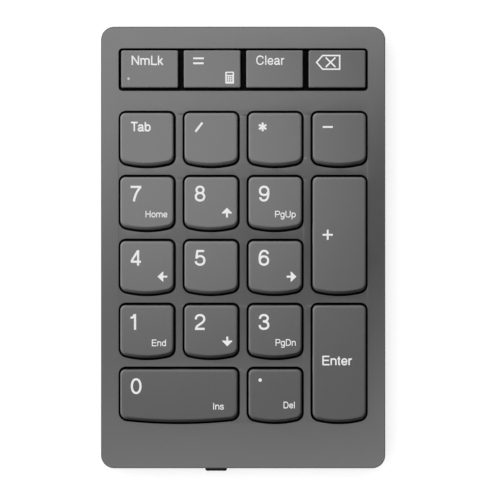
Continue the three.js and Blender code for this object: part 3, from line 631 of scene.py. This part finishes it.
def build_bottom_case():
    """The floor of the casing, with recesses below, and a rim, bosses, ribs and studs above."""
    reveal, edge = 0.35, 0.5
    below = FLOOR_BOTTOM - 1
    b = Builder()
    levels = [(case_outline(reveal + i), FLOOR_BOTTOM + rise) for i, rise in fillet(edge, 5)[::-1]]
    b.stack([*levels, (case_outline(reveal), FLOOR_TOP)])
    case = b.object("case_floor")
    cutters = [prism(foot_outline(node, -0.15), below, FLOOR_BOTTOM + 0.4) for node in FEET]
    cutters += [prism(disc(*middle(node).xy, 1.8), below, FLOOR_TOP + 1) for node in SCREWS]
    label = rounded(CASE_CENTRE.x, CASE_CENTRE.y - 20, 40, 18, 1.5)
    cutters.append(prism(label, below, FLOOR_BOTTOM + 0.2))
    carve(case, cutters)
    merge(case, case_rim())
    merge(case, case_fittings())
    case.data.shade_smooth()
    shade(case, 35)
    dress(case, CASE_PLASTIC, "bottom_case")
    make_inside_bare_and_shaded(case, FLOOR_TOP - 0.02, DECK_TOP)


def case_rim():
    """The upstanding rim that the cover's walls fit over, notched for the charging port."""
    outer, inner = case_outline(CASE_WALL + 0.12), case_outline(CASE_WALL + 0.92)
    foot = FLOOR_TOP - 0.2
    b = Builder()
    b.hoop([(outer, foot), (outer, BOSS_TOP), (inner, BOSS_TOP), (inner, foot)])
    notch = rounded(middle(PORT).x, COVER_HIGH.y, 10.44, 6, 0.1)
    return carve(b.object("case_rim"), [prism(notch, FLOOR_TOP, BOSS_TOP + 1)])


def case_fittings():
    """Screw bosses, plate ribs and board studs on the casing floor."""
    b = Builder()
    foot = FLOOR_TOP - 0.2
    reach = CASE_SIZE.x / 2 - CASE_WALL - 0.12
    head_room = FLOOR_BOTTOM + 1.3
    profile = [(2.3, foot), (2.3, BOSS_TOP), (1, BOSS_TOP), (1, head_room), (1.8, head_room), (1.8, foot)]
    for node in SCREWS:
        boss = turned(*middle(node).xy, profile)
        b.hoop([(points.clip((-reach, -1000), (reach, 1000)), z) for points, z in boss])
    rib_height = extent("backing_plate")[0].z - 0.03 - foot
    cable_low, cable_high = extent("flat_cable")
    for y in (52, 20, -15, -48):
        for start, end in ((-36, cable_low.x - 1), (cable_high.x + 1, 36)):
            centre = ((start + end) / 2, CASE_CENTRE.y + y, foot + rib_height / 2)
            b.box(centre, (end - start, 1.2, rib_height))
    stud = [(1, foot), (1, extent("main_board")[0].z - 0.02)]
    for x, y in ((-33.5, -61), (-33.5, -56.5), (3, -61), (3, -56.5), (-10.5, 61), (10.5, 61)):
        b.stack(turned(x, CASE_CENTRE.y + y, stud, 16))
    return b.object("case_fittings")


def build_feet():
    for node in FEET:
        b = Builder()
        levels = [(foot_outline(node, inset), rise) for inset, rise in fillet(0.35, 5)[::-1]]
        b.stack([*levels, (foot_outline(node, 0), extent(node)[1].z)])
        foot = shade(b.object(node.replace("rubber_", "")))
        dress(foot, FOOT_RUBBER, node)


def build_screws():
    """Pan-head screws with a cross recess and a threaded shank."""
    pitch, core, crest = 0.45, 0.54, 0.7
    arm, half_slot = 0.9, 0.2
    corner = [(arm, -half_slot), (arm, half_slot), (half_slot, half_slot)]
    cross = np.array([
        (x * c - y * s, x * s + y * c)
        for c, s in ((1, 0), (0, 1), (-1, 0), (0, -1)) for x, y in corner
    ])
    for node in SCREWS:
        low, high = extent(node)
        head_top = low.z + 1
        profile = [
            (1.2, low.z), (1.42, low.z + 0.05), (1.55, low.z + 0.16),
            (1.6, low.z + 0.35), (1.6, head_top), (crest, head_top),
        ]
        for i in range(int((high.z - head_top - pitch) / pitch)):
            start = head_top + (i + 0.3) * pitch
            turn = ((core, 0), (core, 0.1), (crest, 0.45), (crest, 0.55))
            profile += [(radius, start + share * pitch) for radius, share in turn]
        profile += [(0.5, high.z - 0.35), (0.15, high.z)]
        b = Builder()
        b.stack(turned(*middle(node).xy, profile, 20))
        recess = prism(cross + middle(node).xy, low.z - 1, low.z + 0.5)
        screw = carve(b.object(node.replace("case_", "")), [recess])
        screw.data.shade_smooth()
        shade(screw, 35)
        dress(screw, SCREW_STEEL, node)


def build_knob():
    """The switch's paddle, with round front corners and a few grip grooves, and its neck."""
    low, high = extent(KNOB)
    x, _, z = middle(KNOB)
    width, paddle_rear = high.x - low.x, low.y + 0.95
    depth = 2 * (paddle_rear - low.y)
    groove, groove_depth, groove_reach = 0.7, 0.05, 2.1

    def outline(inset):
        points = rounded(x, paddle_rear, width, depth, 0.6, inset, 6, (60, 1))
        points[:, 1] = points[:, 1].clip(None, paddle_rear)
        across = points[:, 0] - x
        wave = (1 - np.cos(across / groove * 4 * QUARTER)) / 2
        front = (points[:, 1] < low.y + inset + 0.01) & (np.abs(across) < groove_reach)
        points[:, 1] += np.where(front, wave * groove_depth, 0)
        return points

    b = Builder()
    edge = fillet(0.2, 3)
    levels = [(outline(inset), low.z + rise) for inset, rise in edge[::-1]]
    levels += [(outline(inset), high.z - drop) for inset, drop in edge]
    b.stack(levels)
    neck = high.y - paddle_rear + 0.2
    b.box((x, high.y - neck / 2, z), (2.6, neck, 0.9), 0.08)
    knob = shade(b.object("switch_knob"))
    dress(knob, KNOB_PLASTIC, KNOB, KNOB)


def build_port():
    """The charging port: a rolled metal sleeve, its tongue and the contacts on both faces."""
    low, high = extent(PORT)
    x, _, z = middle(PORT)
    size = (high.x - low.x, high.z - low.z)
    sheet, roll, floor = 0.3, 0.08, 0.8
    mouth, back = -high.y, -low.y
    profile = [
        (sheet, back - floor), (sheet, mouth + roll), (sheet - roll, mouth),
        (roll, mouth), (0, mouth + roll), (0, back),
    ]
    b = Builder()
    b.stack([(rounded(x, z, *size, size[1] / 2, i, 10), depth) for i, depth in profile])
    sleeve = shade(stand_up(b.object("port_sleeve")))
    dress(sleeve, PORT_STEEL, PORT)
    start, length, pad_length = low.y + 0.6, 4.9, 3
    b = Builder()
    b.box((x, start + length / 2, z), (6.7, length, 0.7), 0.1)
    tongue = shade(b.object("port_tongue"))
    dress(tongue, TONGUE_PLASTIC, PORT)
    b = Builder()
    pad_y = start + length - pad_length / 2 - 0.5
    for i in range(12):
        for face in (-1, 1):
            centre = (x + (i - 5.5) * 0.5, pad_y, z + face * 0.345)
            b.box(centre, (0.26, pad_length, 0.04))
    dress(b.object("port_contacts", smooth=False), CONTACT_GOLD, PORT)


# -------- domes

DOME_BASE = extent("dome_sheet")[0].z + 0.4
# The dome's skin as (radius, height above its base), up the outside and down the inside.
DOME_SKIN = [
    (2.75, -0.02), (2.6, 0.12), (2.36, 0.7), (2.05, 1.35), (1.84, 1.9), (1.76, 2.3),
    (1.68, 2.47), (1.5, 2.54), (0.02, 2.54),
    (0.02, 2.14), (1.2, 2.14), (1.42, 1.9), (1.65, 1.3), (1.95, 0.7), (2.25, -0.02),
]


def build_domes():
    """The silicone sheet, and a dome under each key, each with a mesh of its own."""
    low, high = extent("dome_sheet")
    y = middle("case_screw_3").y
    notch_x, notch_y = high.x - 2, 2.9
    right = [
        (high.x, low.y), (high.x, y - notch_y), (notch_x, y - notch_y),
        (notch_x, y + notch_y), (high.x, y + notch_y), (high.x, high.y),
    ]
    outline = np.array(right + [(-px, py) for px, py in reversed(right)])
    holes = [disc(key.x, key.y, 2.3) for key in KEYS.values()]
    holes.append(rounded(*middle("lock_lamp").xy, 2.6, 1.8, 0.3))
    b = Builder()
    lower, upper = b.stack([(outline, low.z), (outline, DOME_BASE)], close=False)
    bores = [b.stack([(points, DOME_BASE), (points, low.z)], close=False) for points in holes]
    b.plate(upper, [above for above, below in bores])
    b.plate(lower, [below for above, below in bores], up=False)
    dress(b.object("dome_base_sheet", smooth=False), SILICONE, "dome_sheet")
    profile = [(radius, DOME_BASE + rise) for radius, rise in DOME_SKIN]
    for node, key in KEYS.items():
        b = Builder()
        b.hoop(turned(key.x, key.y, profile, 20))
        dome = b.object(node.replace("key_", "dome_"))
        dress(dome, SILICONE, "dome_sheet")
        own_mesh(dome)


# -------- keycaps

CAP_BEVEL_DROP = 0.3
# The bevel's shape as (share of its width, share of its drop) from its foot to the top.
CAP_BEVEL = [(0, 1), (0.1, 0.74), (0.3, 0.42), (0.6, 0.14), (0.82, 0.035), (1, 0)]
# The wall's shape as (drop below the top, share of its full lean) from deck level up.
CAP_WALL_CURVE = [(1.9, 0), (1.5, 0.1), (1.1, 0.32), (0.75, 0.6), (0.5, 0.84), (0.36, 0.96)]
# How far the wall leans in, and the bevel's width, each at the side, the rear and the front.
CAP_SLOPE = np.array([(0.18, 0.22, 0.8), (0.42, 0.55, 0.34)])
TOP_CAP_SLOPE = np.array([(0.04, 0.06, 0.06), (0.3, 0.3, 0.3)])
# Sizes of the rings that fill a cap's top, as shares of its rim.
CAP_TOP_RINGS = (0.97, 0.9, 0.78, 0.62, 0.44, 0.24, 0.08)


def cap_height(key, x):
    """Height of the cap's slightly crowned top over points at x."""
    return key.top - CAP_CROWN * np.clip(np.abs(x - key.x) / (key.width / 2), 0, 1) ** 2


def cap_outline(key, side, rear, front):
    """A cap's outline, drawn in from its own edges."""
    step = 2.4
    sides = round(key.width / step), round(key.depth / step)
    if key.in_top_row:
        return rounded(key.x, key.y, key.width, key.depth, TOP_CAP_CORNER, side, 5, sides)
    return key_outline(key, CAP_GAP + side, CAP_GAP + rear, CAP_GAP + front, sides)


def cap_levels(key):
    """A cap's outer shape as (points, heights), from its skirt to the rim of its top."""
    walls, bevels = TOP_CAP_SLOPE if key.in_top_row else CAP_SLOPE
    draft = 0.12

    def outline(insets):
        return cap_outline(key, *(insets + (0, REAR_GAP - CAP_GAP, 0)))

    levels = [(outline(np.full(3, draft)), key.bottom), (outline(np.zeros(3)), key.bottom + draft)]
    slopes = [(walls * share, drop) for drop, share in CAP_WALL_CURVE]
    slopes += [(walls + bevels * width, drop * CAP_BEVEL_DROP) for width, drop in CAP_BEVEL]
    for insets, drop in slopes:
        points = outline(insets)
        levels.append((points, cap_height(key, points[:, 0]) - drop))
    return levels


def add_stem(b, key, roof):
    """The square stem with its barbs and plunger."""
    low = extent(key.node)[0].z
    top = roof + 0.1
    height, half, plunger_low = top - low, (top + low) / 2, low + 0.44
    for side in (-1, 1):
        b.box((key.x + side * 3.1, key.y, half), (0.6, 6.8, height))
        b.box((key.x, key.y + side * 3.1, half), (5.7, 0.6, height))
        b.box((key.x + side * 3.55, key.y, low + 0.15), (0.5, 1.6, 0.3))
    b.box((key.x, key.y, (top + plunger_low) / 2), (2.4, 2.4, top - plunger_low))


def add_wire_tabs(b, key, roof):
    """Tabs that hold the tips of the stabiliser wire under a double-size cap."""
    wire_top = extent(key.node.replace("key_", "stabiliser_wire_"))[1].z
    low, top = wire_top - 0.9, roof + 0.1
    wide = key.width > key.depth
    reach, offset, spread = 14.3, -3.4, 0.95
    size = (0.8, 0.5) if wide else (0.5, 0.8)
    for side in (-1, 1):
        for edge in (-1, 1):
            place = (side * reach, offset + edge * spread)
            x, y = place if wide else place[::-1]
            b.box((key.x + x, key.y + y, (low + top) / 2), (*size, top - low))


def build_cap(key):
    roof = key.top - 1
    front_wall = CAP_WALL if key.in_top_row else 1.9 * CAP_WALL
    inner = cap_outline(key, CAP_WALL, CAP_WALL, front_wall)
    levels = cap_levels(key)
    b = Builder()
    rings = b.stack([(inner, roof), (inner, key.bottom), *levels], close=False)
    b.cap(rings[0], up=False)
    centre = np.array([key.x, key.y])
    last = rings[-1]
    for share in CAP_TOP_RINGS:
        points = centre + (levels[-1][0] - centre) * share
        ring = b.ring(points, cap_height(key, points[:, 0]))
        b.band(last, ring)
        last = ring
    b.cap(last)
    add_stem(b, key, roof)
    if key.long:
        add_wire_tabs(b, key, roof)
    cap = shade(b.object(key.node.replace("key_", "cap_")))
    dress(cap, CAP_PLASTIC, key.node, key.node)


# -------- legends

# Letter shapes: a letter, its advance and its centre lines, in units of the cap height. M moves,
# L draws a line, C draws a cubic curve and O draws an oval (centre and radii).
GLYPHS = """
0 .78 O .335 .5 .275 .44
1 .78 M .345 0 L .345 1 M .06 .77 C .2 .77 .28 .82 .3 .98
2 .78 M .065 .66 C .065 .84 .17 .94 .335 .94 C .5 .94 .605 .84 .605 .69
  C .605 .54 .5 .465 .335 .36 C .17 .25 .085 .2 .075 .02 M .015 .06 L .635 .06
3 .78 M .075 .7 C .085 .86 .18 .94 .325 .94 C .475 .94 .575 .865 .575 .74
  C .575 .6 .46 .535 .26 .535 M .26 .535 C .49 .535 .61 .44 .61 .295
  C .61 .14 .49 .06 .325 .06 C .16 .06 .06 .145 .06 .31
4 .78 M .475 0 L .475 .985 M .01 .25 L .655 .25 M .455 .94 L .05 .27
5 .78 M .11 .935 L .595 .935 M .165 .96 L .095 .45 M .09 .47 C .16 .565 .24 .605 .345 .605
  C .51 .605 .61 .5 .61 .335 C .61 .165 .5 .06 .33 .06 C .17 .06 .075 .14 .06 .28
6 .78 O .34 .325 .265 .265 M .59 .735 C .575 .87 .48 .94 .355 .94
  C .165 .94 .07 .77 .07 .47 C .07 .4 .07 .36 .075 .32
7 .78 M .03 .93 L .72 .93 M .69 .93 C .47 .72 .3 .4 .25 0
8 .78 O .335 .735 .225 .205 O .335 .3 .27 .24
9 .78 O .33 .675 .265 .265 M .08 .265 C .095 .13 .19 .06 .315 .06
  C .505 .06 .6 .23 .6 .53 C .6 .6 .6 .64 .595 .68
N 1.006 M .16 0 L .16 1 M .85 0 L .85 1 M .165 .96 L .845 .04
m 1.16 M .13 0 L .13 .73 M .13 .42 C .13 .6 .22 .675 .35 .675 C .5 .675 .58 .6 .58 .46 L .58 0
  M .58 .42 C .58 .6 .67 .675 .8 .675 C .95 .675 1.03 .6 1.03 .46 L 1.03 0
L .8 M .17 0 L .17 1 M .17 .057 L .76 .057
k .72 M .13 0 L .13 1 M .13 .26 L .57 .71 M .28 .4 L .62 .01
C 1.006 M .865 .7 C .82 .86 .69 .945 .52 .945 C .27 .945 .12 .77 .12 .5
  C .12 .22 .27 .055 .51 .055 C .7 .055 .84 .16 .875 .34
l .309 M .155 0 L .155 1
e .774 M .12 .355 L .65 .355 M .65 .33 C .66 .54 .56 .675 .387 .675 C .23 .675 .12 .55 .12 .365
  C .12 .17 .23 .055 .39 .055 C .52 .055 .61 .11 .64 .22
a .774 M .12 .5 C .14 .62 .24 .675 .37 .675 C .52 .675 .59 .61 .59 .5 L .59 .14
  C .59 .07 .63 .05 .71 .06 M .59 .42 C .5 .36 .36 .4 .24 .345 C .13 .3 .1 .26 .1 .2
  C .1 .1 .19 .055 .29 .055 C .45 .055 .59 .14 .59 .28
r .464 M .13 0 L .13 .73 M .13 .38 C .13 .58 .22 .68 .44 .67
T .8 M .425 0 L .425 1 M .03 .943 L .82 .943
b .774 M .13 0 L .13 1 O .395 .365 .262 .31
E .929 M .17 0 L .17 1 M .17 .943 L .86 .943 M .17 .52 L .81 .52 M .17 .057 L .87 .057
n .774 M .13 0 L .13 .73 M .13 .42 C .13 .6 .24 .675 .37 .675 C .55 .675 .64 .6 .64 .44 L .64 0
t .4 M .19 .92 L .19 .17 C .19 .07 .23 .05 .34 .06 M .03 .68 L .34 .68
H 1.006 M .16 0 L .16 1 M .85 0 L .85 1 M .16 .52 L .85 .52
o .774 O .387 .365 .272 .31
P .9 M .17 0 L .17 1 M .17 .943 L .55 .943 C .75 .943 .82 .84 .82 .7
  C .82 .55 .75 .45 .55 .45 L .17 .45
g .774 O .38 .365 .262 .31 M .645 .73 L .645 -.05 C .645 -.19 .53 -.245 .39 -.245
  C .25 -.245 .16 -.2 .14 -.11
U 1.006 M .16 1 L .16 .38 C .16 .15 .29 .055 .505 .055 C .72 .055 .85 .15 .85 .38 L .85 1
p .774 M .13 -.29 L .13 .73 O .395 .365 .262 .31
d .774 M .645 0 L .645 1 O .38 .365 .262 .31
D 1.006 M .17 0 L .17 1 M .17 .943 L .46 .943 C .74 .943 .875 .77 .875 .5
  C .875 .22 .74 .057 .46 .057 L .17 .057
I .387 M .195 0 L .195 1
s .696 M .56 .52 C .55 .63 .46 .675 .34 .675 C .19 .675 .11 .61 .11 .53
  C .11 .42 .23 .41 .35 .375 C .5 .335 .59 .31 .59 .2 C .59 .1 .48 .055 .35 .055
  C .19 .055 .1 .12 .085 .23
""".replace("\n ", "").strip().splitlines()
GLYPHS = {line[0]: line.split()[1:] for line in GLYPHS}
CURVE_STEPS = 8


def cubic(p0, p1, p2, p3):
    """Points of a cubic curve without its first point."""
    t = np.linspace(0, 1, CURVE_STEPS + 1)[1:, None]
    return (1 - t) ** 3 * p0 + 3 * (1 - t) ** 2 * t * p1 + 3 * (1 - t) * t ** 2 * p2 + t ** 3 * p3


def strokes_of(path):
    """Reads a glyph's path into (points, closed) centre lines."""
    words = list(path)
    take = lambda n: np.array([float(words.pop(0)) for _ in range(2 * n)]).reshape(n, 2)
    strokes, current = [], None
    while words:
        command = words.pop(0)
        if command == "O":
            centre, radii = take(2)
            shape = disc(0, 0, 1, 4 * CURVE_STEPS)
            shape = np.sign(shape) * np.abs(shape) ** 0.94  # a little squarer than an ellipse
            strokes.append((shape * radii + centre, True))
        elif command == "M":
            current = [take(1)[0]]
            strokes.append((current, False))
        elif command == "L":
            current.append(take(1)[0])
        elif command == "C":
            current.extend(cubic(current[-1], *take(3)))
    return [(np.array(points), closed) for points, closed in strokes]


def ribbon(points, closed, half_width):
    """Four-sided pieces of a stroke of even width along a centre line."""
    heading = np.roll(points, -1, axis=0) - points
    if not closed:
        heading[-1] = heading[-2]
    heading /= np.linalg.norm(heading, axis=1)[:, None]
    before = np.roll(heading, 1, axis=0)
    if not closed:
        before[0] = heading[0]
    tangent = heading + before
    tangent /= np.linalg.norm(tangent, axis=1)[:, None]
    widen = half_width / np.maximum((tangent * heading).sum(axis=1), 0.5)
    normal = np.stack([-tangent[:, 1], tangent[:, 0]], axis=1) * widen[:, None]
    left, right = points + normal, points - normal
    quads = []
    for i in range(len(points) if closed else len(points) - 1):
        j = (i + 1) % len(points)
        corners = np.array([right[i], right[j], left[j], left[i]])
        quads.append(corners[convex_hull_2d([tuple(c) for c in corners])])
    return quads


def word(text, height, stroke, left, baseline, width=None):
    """Flat pieces of a word set from its left edge, fitted to a width if one is given. The
    stroke is a share of the height."""
    pieces, pen = [], 0.0
    for character in text:
        advance, *path = GLYPHS[character]
        for points, closed in strokes_of(path):
            pieces.extend(q + (pen, 0) for q in ribbon(points, closed, stroke / 2))
        pen += float(advance)
    across = np.concatenate(pieces)[:, 0]
    low, high = across.min(), across.max()
    stretch = height if width is None else width / (high - low)
    return [(q - (low, 0)) * (stretch, height) + (left, baseline) for q in pieces]


def digit(character, left=-4.85):
    return word(character, 4.65, 0.14, left, 0.57)


def small_word(text, width, right=6.1, baseline=-4.17):
    return word(text, 1.95, 0.145, right - width, baseline, width)


def large_word(text, left, baseline, width, stroke):
    return word(text, 2.75, stroke, left, baseline, width)


def bar(x0, y0, x1, y1, thickness):
    return ribbon(np.array([(x0, y0), (x1, y1)]), False, thickness / 2)


def arrow(x, y, direction):
    """A short arrow with a filled, slightly swept head, centred on (x, y)."""
    turn = QUARTER * ("up", "left", "down", "right").index(direction)
    rotate = np.array([[math.cos(turn), math.sin(turn)], [-math.sin(turn), math.cos(turn)]])
    half = np.array([(0, 1.45), (-1.5, -0.1), (-1.42, -0.3), (0, -0.2)])
    shapes = (half, half * (-1, 1), rectangle(-0.29, -1.45, 0.29, 0.4))
    return [shape @ rotate + (x, y) for shape in shapes]


def backspace():
    """An outlined tag pointing left with a cross in it."""
    corners = np.array([(-6.1, 1.95), (-4.3, 3.97), (0.75, 3.97), (0.75, -0.07), (-4.3, -0.07)])
    cross = bar(-3.4, 3.4, -0.5, 0.55, 0.44) + bar(-3.4, 0.55, -0.5, 3.4, 0.44)
    return ribbon(corners, True, 0.22) + cross


def calculator():
    """A filled calculator, and its display and keys to leave open."""
    holes = [rectangle(4.3, -1.75, 6.1, -1.2)]
    for row in range(3):
        for column in range(3):
            x, y = 4.35 + 0.63 * column, -2.5 - 0.62 * row
            holes.append(rectangle(x, y, x + 0.4, y + 0.36))
    return [rounded(5.2, -2.58, 2.6, 3.55, 0.25, 0, 3)], holes


def asterisk(x, y, size):
    pieces = []
    for turn in (90, 210, 330):
        dx, dy = size * math.cos(math.radians(turn)), size * math.sin(math.radians(turn))
        pieces += bar(x - dx, y - dy, x + dx, y + dy, 0.62)
    return pieces


LEGENDS = {
    "7": digit("7") + small_word("Home", 6.5),
    "8": digit("8") + arrow(4.72, -2.74, "up"),
    "9": digit("9") + small_word("PgUp", 6.15),
    "4": digit("4") + arrow(4.62, -2.7, "left"),
    "5": digit("5"),
    "6": digit("6", -4.93) + arrow(4.85, -2.7, "right"),
    "1": digit("1") + small_word("End", 4.2, 5.68, -4.28),
    "2": digit("2") + arrow(4.82, -2.9, "down"),
    "3": digit("3", -4.93) + small_word("PgDn", 6.0),
    "0": digit("0", -14.3) + small_word("Ins", 3.2, 13.36, -4.06),
    "decimal": [disc(-4.47, 4.7, 0.5)] + small_word("Del", 3.35, 5.82, -3.68),
    "tab": large_word("Tab", -4.74, 2.35, 5.9, 0.18),
    "divide": bar(-4.62, 2.22, -2.55, 4.95, 0.64),
    "multiply": asterisk(-3.74, 3.64, 1.28),
    "minus": [rectangle(-4.95, 3.34, -1.95, 3.9)],
    "plus": [rectangle(-4.97, -0.08, -1.97, 0.48), rectangle(-3.75, -1.3, -3.19, 1.7)],
    "enter": large_word("Enter", -5.07, -0.4, 8.8, 0.16),
    "clear": large_word("Clear", -5.48, 1.22, 8.35, 0.14),
    "num_lock": large_word("NmLk", -5.35, 1.18, 9.43, 0.16),
    "equals": [rectangle(-5.63, 2.87, -2.48, 3.43), rectangle(-5.63, 1.4, -2.48, 1.96)],
    "backspace": backspace(),
}


def build_legend(name, key, pieces, holes=()):
    """Joins overlapping flat pieces, minus holes, and gives them the thickness of a print."""
    flat, polygons = [], []
    for shape in [*pieces, *holes]:
        area = np.cross(shape, np.roll(shape, -1, axis=0)).sum()
        polygons.append(list(range(len(flat), len(flat) + len(shape))))
        flat.extend(Vector(p) for p in (shape if area > 0 else shape[::-1]))
    points, _, triangles, _, _, owners = delaunay_2d_cdt(flat, [], polygons, 0, 1e-5)
    kept = [t for t, o in zip(triangles, owners) if o and max(o) < len(pieces)]
    used = sorted({i for t in kept for i in t})
    index = {old: new for new, old in enumerate(used)}
    place = np.array([points[i][:] for i in used]) + (key.x, key.y)
    surface = cap_height(key, place[:, 0])
    b = Builder()
    low, high = b.ring(place, surface - 0.03), b.ring(place, surface + 0.015)
    edges = set()
    for triangle in kept:
        corners = [index[i] for i in triangle]
        b.cap([high[i] for i in corners])
        b.cap([low[i] for i in corners], up=False)
        edges.update(zip(corners, corners[1:] + corners[:1]))
    for start, end in sorted(edges):
        if (end, start) not in edges:
            b.faces.append((low[start], low[end], high[end], high[start]))
    legend = b.object(name, smooth=False)
    SPARED.append(legend)
    dress(legend, INK, body=key.node)


# -------- the other pieces

CARRIED = [
    (SHEET_STEEL, "backing_plate radio_shield power_switch_body"),
    (TRACK_FILM, "membrane_bottom_layer membrane_top_layer"),
    (PLAIN_FILM, "membrane_spacer"),
    (GUIDE_AND_SHADE_PLASTIC, "key_guide_frame"),
    (LENS, "lock_lamp_window lock_lamp"),
    (BOARD_MASK, "main_board usb_board"),
    (CHIP_RESIN, "controller_chip"),
    (SOCKET_IVORY, "membrane_socket"),
    (FOIL, "battery_cell"),
    (RED_INSULATION, "battery_lead_positive"),
    (BLACK_INSULATION, "battery_lead_negative"),
    (DARK_FILM, "flat_cable"),
    (WIRE_STEEL, "stabiliser_wire_0 stabiliser_wire_plus stabiliser_wire_enter"),
]


def dress_carried_nodes():
    """Gives materials to the CAD nodes that are shown as they are."""
    for look, names in CARRIED:
        for name in names.split():
            paint(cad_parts[name], look)


# -------- stage, light and camera

FLOOR_GLOW = 1.02
SKY = 1.1
HORIZON = 0.25
SKY_LEAN_LEFT = 0.75
SKY_LEAN_REAR = 0.5
GAP_SLANT = math.radians(21.6)
GAP_GLOW = (0.66, 0.02)
REAR_RAMP = (0.0, 0.11)
REAR_PANEL = 1.95
FRONT_RAMP = (-0.2, -0.01)
FRONT_PANEL = 1.86
POOL_CENTRE = (-0.078, 0.0736)
POOL_RADIUS = 0.1
POOL_STRETCH = (1.474, 0.836, 1)
POOL_TURN = math.radians(-36.2)
POOL_BLEND = 0.61
POOL_HEIGHT = 0.9
POOL_POWER = 88
LOW_LAMPS = {"low_left": ((-1.2, 0.1, 0.2), 78), "low_rear": ((-0.1, 1.2, 0.2), 52)}


def build_stage():
    reach = 1500
    b = Builder()
    b.cap(b.ring(rectangle(-reach, -reach, reach, reach), 0))
    floor = b.object("floor", smooth=False)
    n = new_material("floor_white")
    white = n.mix(n.noise(3, 2), 0.59, 0.61)
    look = n.set(Base_Color=white, Roughness=0.8, Emission_Color=white, Emission_Strength=FLOOR_GLOW)
    paint(floor, look)
    SPARED.append(floor)
    floor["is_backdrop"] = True


def build_world():
    """A soft studio: a dome that is brightest on the left and rear, and, straight above, two
    panels with a dark slanting gap between them that the deck mirrors faintly."""
    world = bpy.data.worlds.new("studio")
    SCENE.world = world
    n = Nodes(world)

    def ramp(source, start, end, low, high):
        return n.span(source, low, high, start, end, interpolation_type="SMOOTHSTEP")

    x, y, z = n.split(n.coordinates["Generated"])
    along_y = n.math("MULTIPLY", y, math.cos(GAP_SLANT))
    across = n.math("SUBTRACT", along_y, n.math("MULTIPLY", x, math.sin(GAP_SLANT)))
    rear_panel = ramp(across, *REAR_RAMP, ramp(x, -0.08, 0.05, *GAP_GLOW), REAR_PANEL)
    panels = n.math("ADD", rear_panel, ramp(across, *FRONT_RAMP, FRONT_PANEL, 0.0))
    lean_left = n.math("MULTIPLY_ADD", x, -SKY_LEAN_LEFT, 1.0)
    lean = n.math("ADD", lean_left, n.math("MULTIPLY", y, SKY_LEAN_REAR))
    sky = n.math("MULTIPLY", ramp(z, 0.15, 0.85, HORIZON, SKY), lean)
    overhead = ramp(z, 0.955, 0.985, 0.0, 1.0)
    low_sky = n.math("MULTIPLY", sky, n.math("SUBTRACT", 1.0, overhead))
    background = n.tree.nodes["Background"].inputs
    n.feed(background["Color"], 1)
    n.feed(background["Strength"], n.math("ADD", low_sky, n.math("MULTIPLY", panels, overhead)))


def add_lamp(name, kind, place, power, **settings):
    """A lamp that lights the keypad but isn't mirrored or seen, except by what is spared."""
    data = bpy.data.lights.new(name, kind)
    data.energy = power
    for key, value in settings.items():
        setattr(data, key, value)
    lamp = bpy.data.objects.new(name, data)
    lamp.location = place
    lamp.visible_glossy = False
    lamp.visible_camera = False
    SCENE.collection.objects.link(lamp)
    return lamp


def build_lights():
    """An oval pool of light over the rear left of the keypad, from straight above, and two
    panels low beside it that brighten the left and rear bevels of its caps."""
    cone = 2 * math.atan2(POOL_RADIUS, POOL_HEIGHT - DECK_TOP * MM)
    place = (*POOL_CENTRE, POOL_HEIGHT)
    shape = {"spot_size": cone, "spot_blend": POOL_BLEND, "shadow_soft_size": 0.03}
    pool = add_lamp("pool_light", "SPOT", place, POOL_POWER, **shape)
    pool.rotation_euler = (0, 0, POOL_TURN)
    pool.scale = POOL_STRETCH
    lamps = [pool]
    for name, (place, power) in LOW_LAMPS.items():
        lamp = add_lamp(name, "AREA", place, power, shape="SQUARE", size=0.3)
        lamp.rotation_euler = (-Vector(place)).to_track_quat("-Z", "Y").to_euler()
        lamps.append(lamp)
    spared = bpy.data.collections.new("spared_by_lamps")
    for lamp in lamps:
        lamp.light_linking.receiver_collection = spared
    for i, thing in enumerate(SPARED):
        spared.objects.link(thing)
        spared.collection_objects[i].light_linking.link_state = "EXCLUDE"


def build_camera():
    """Straight above the keypad, half a metre up."""
    distance, view_width = 0.548, 0.14895
    data = bpy.data.cameras.new("camera")
    data.sensor_width = 36
    data.lens = data.sensor_width * distance / view_width
    data.clip_start = 0.05
    camera = bpy.data.objects.new("camera", data)
    camera.location = Vector((CASE_CENTRE.x + 2.04, CASE_CENTRE.y - 0.745, DECK_TOP)) * MM
    camera.location.z += distance
    SCENE.collection.objects.link(camera)
    bpy.context.scene.camera = camera


# -------- build

dress_carried_nodes()
build_deck()
build_bottom_case()
build_feet()
build_screws()
build_knob()
build_port()
build_domes()
for each in KEYS.values():
    build_cap(each)
for name, pieces in LEGENDS.items():
    build_legend(f"legend_{name}", KEYS[f"key_{name}"], pieces)
build_legend("legend_calculator", KEYS["key_equals"], *calculator())
build_stage()
build_world()
build_lights()
build_camera()
SCENE.view_settings.view_transform = "Standard"
SCENE.view_settings.look = "None"

boxes = {"cad": cad_bounds, "visual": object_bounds()}
{k: [list(corner) for corner in v] for k, v in boxes.items()}
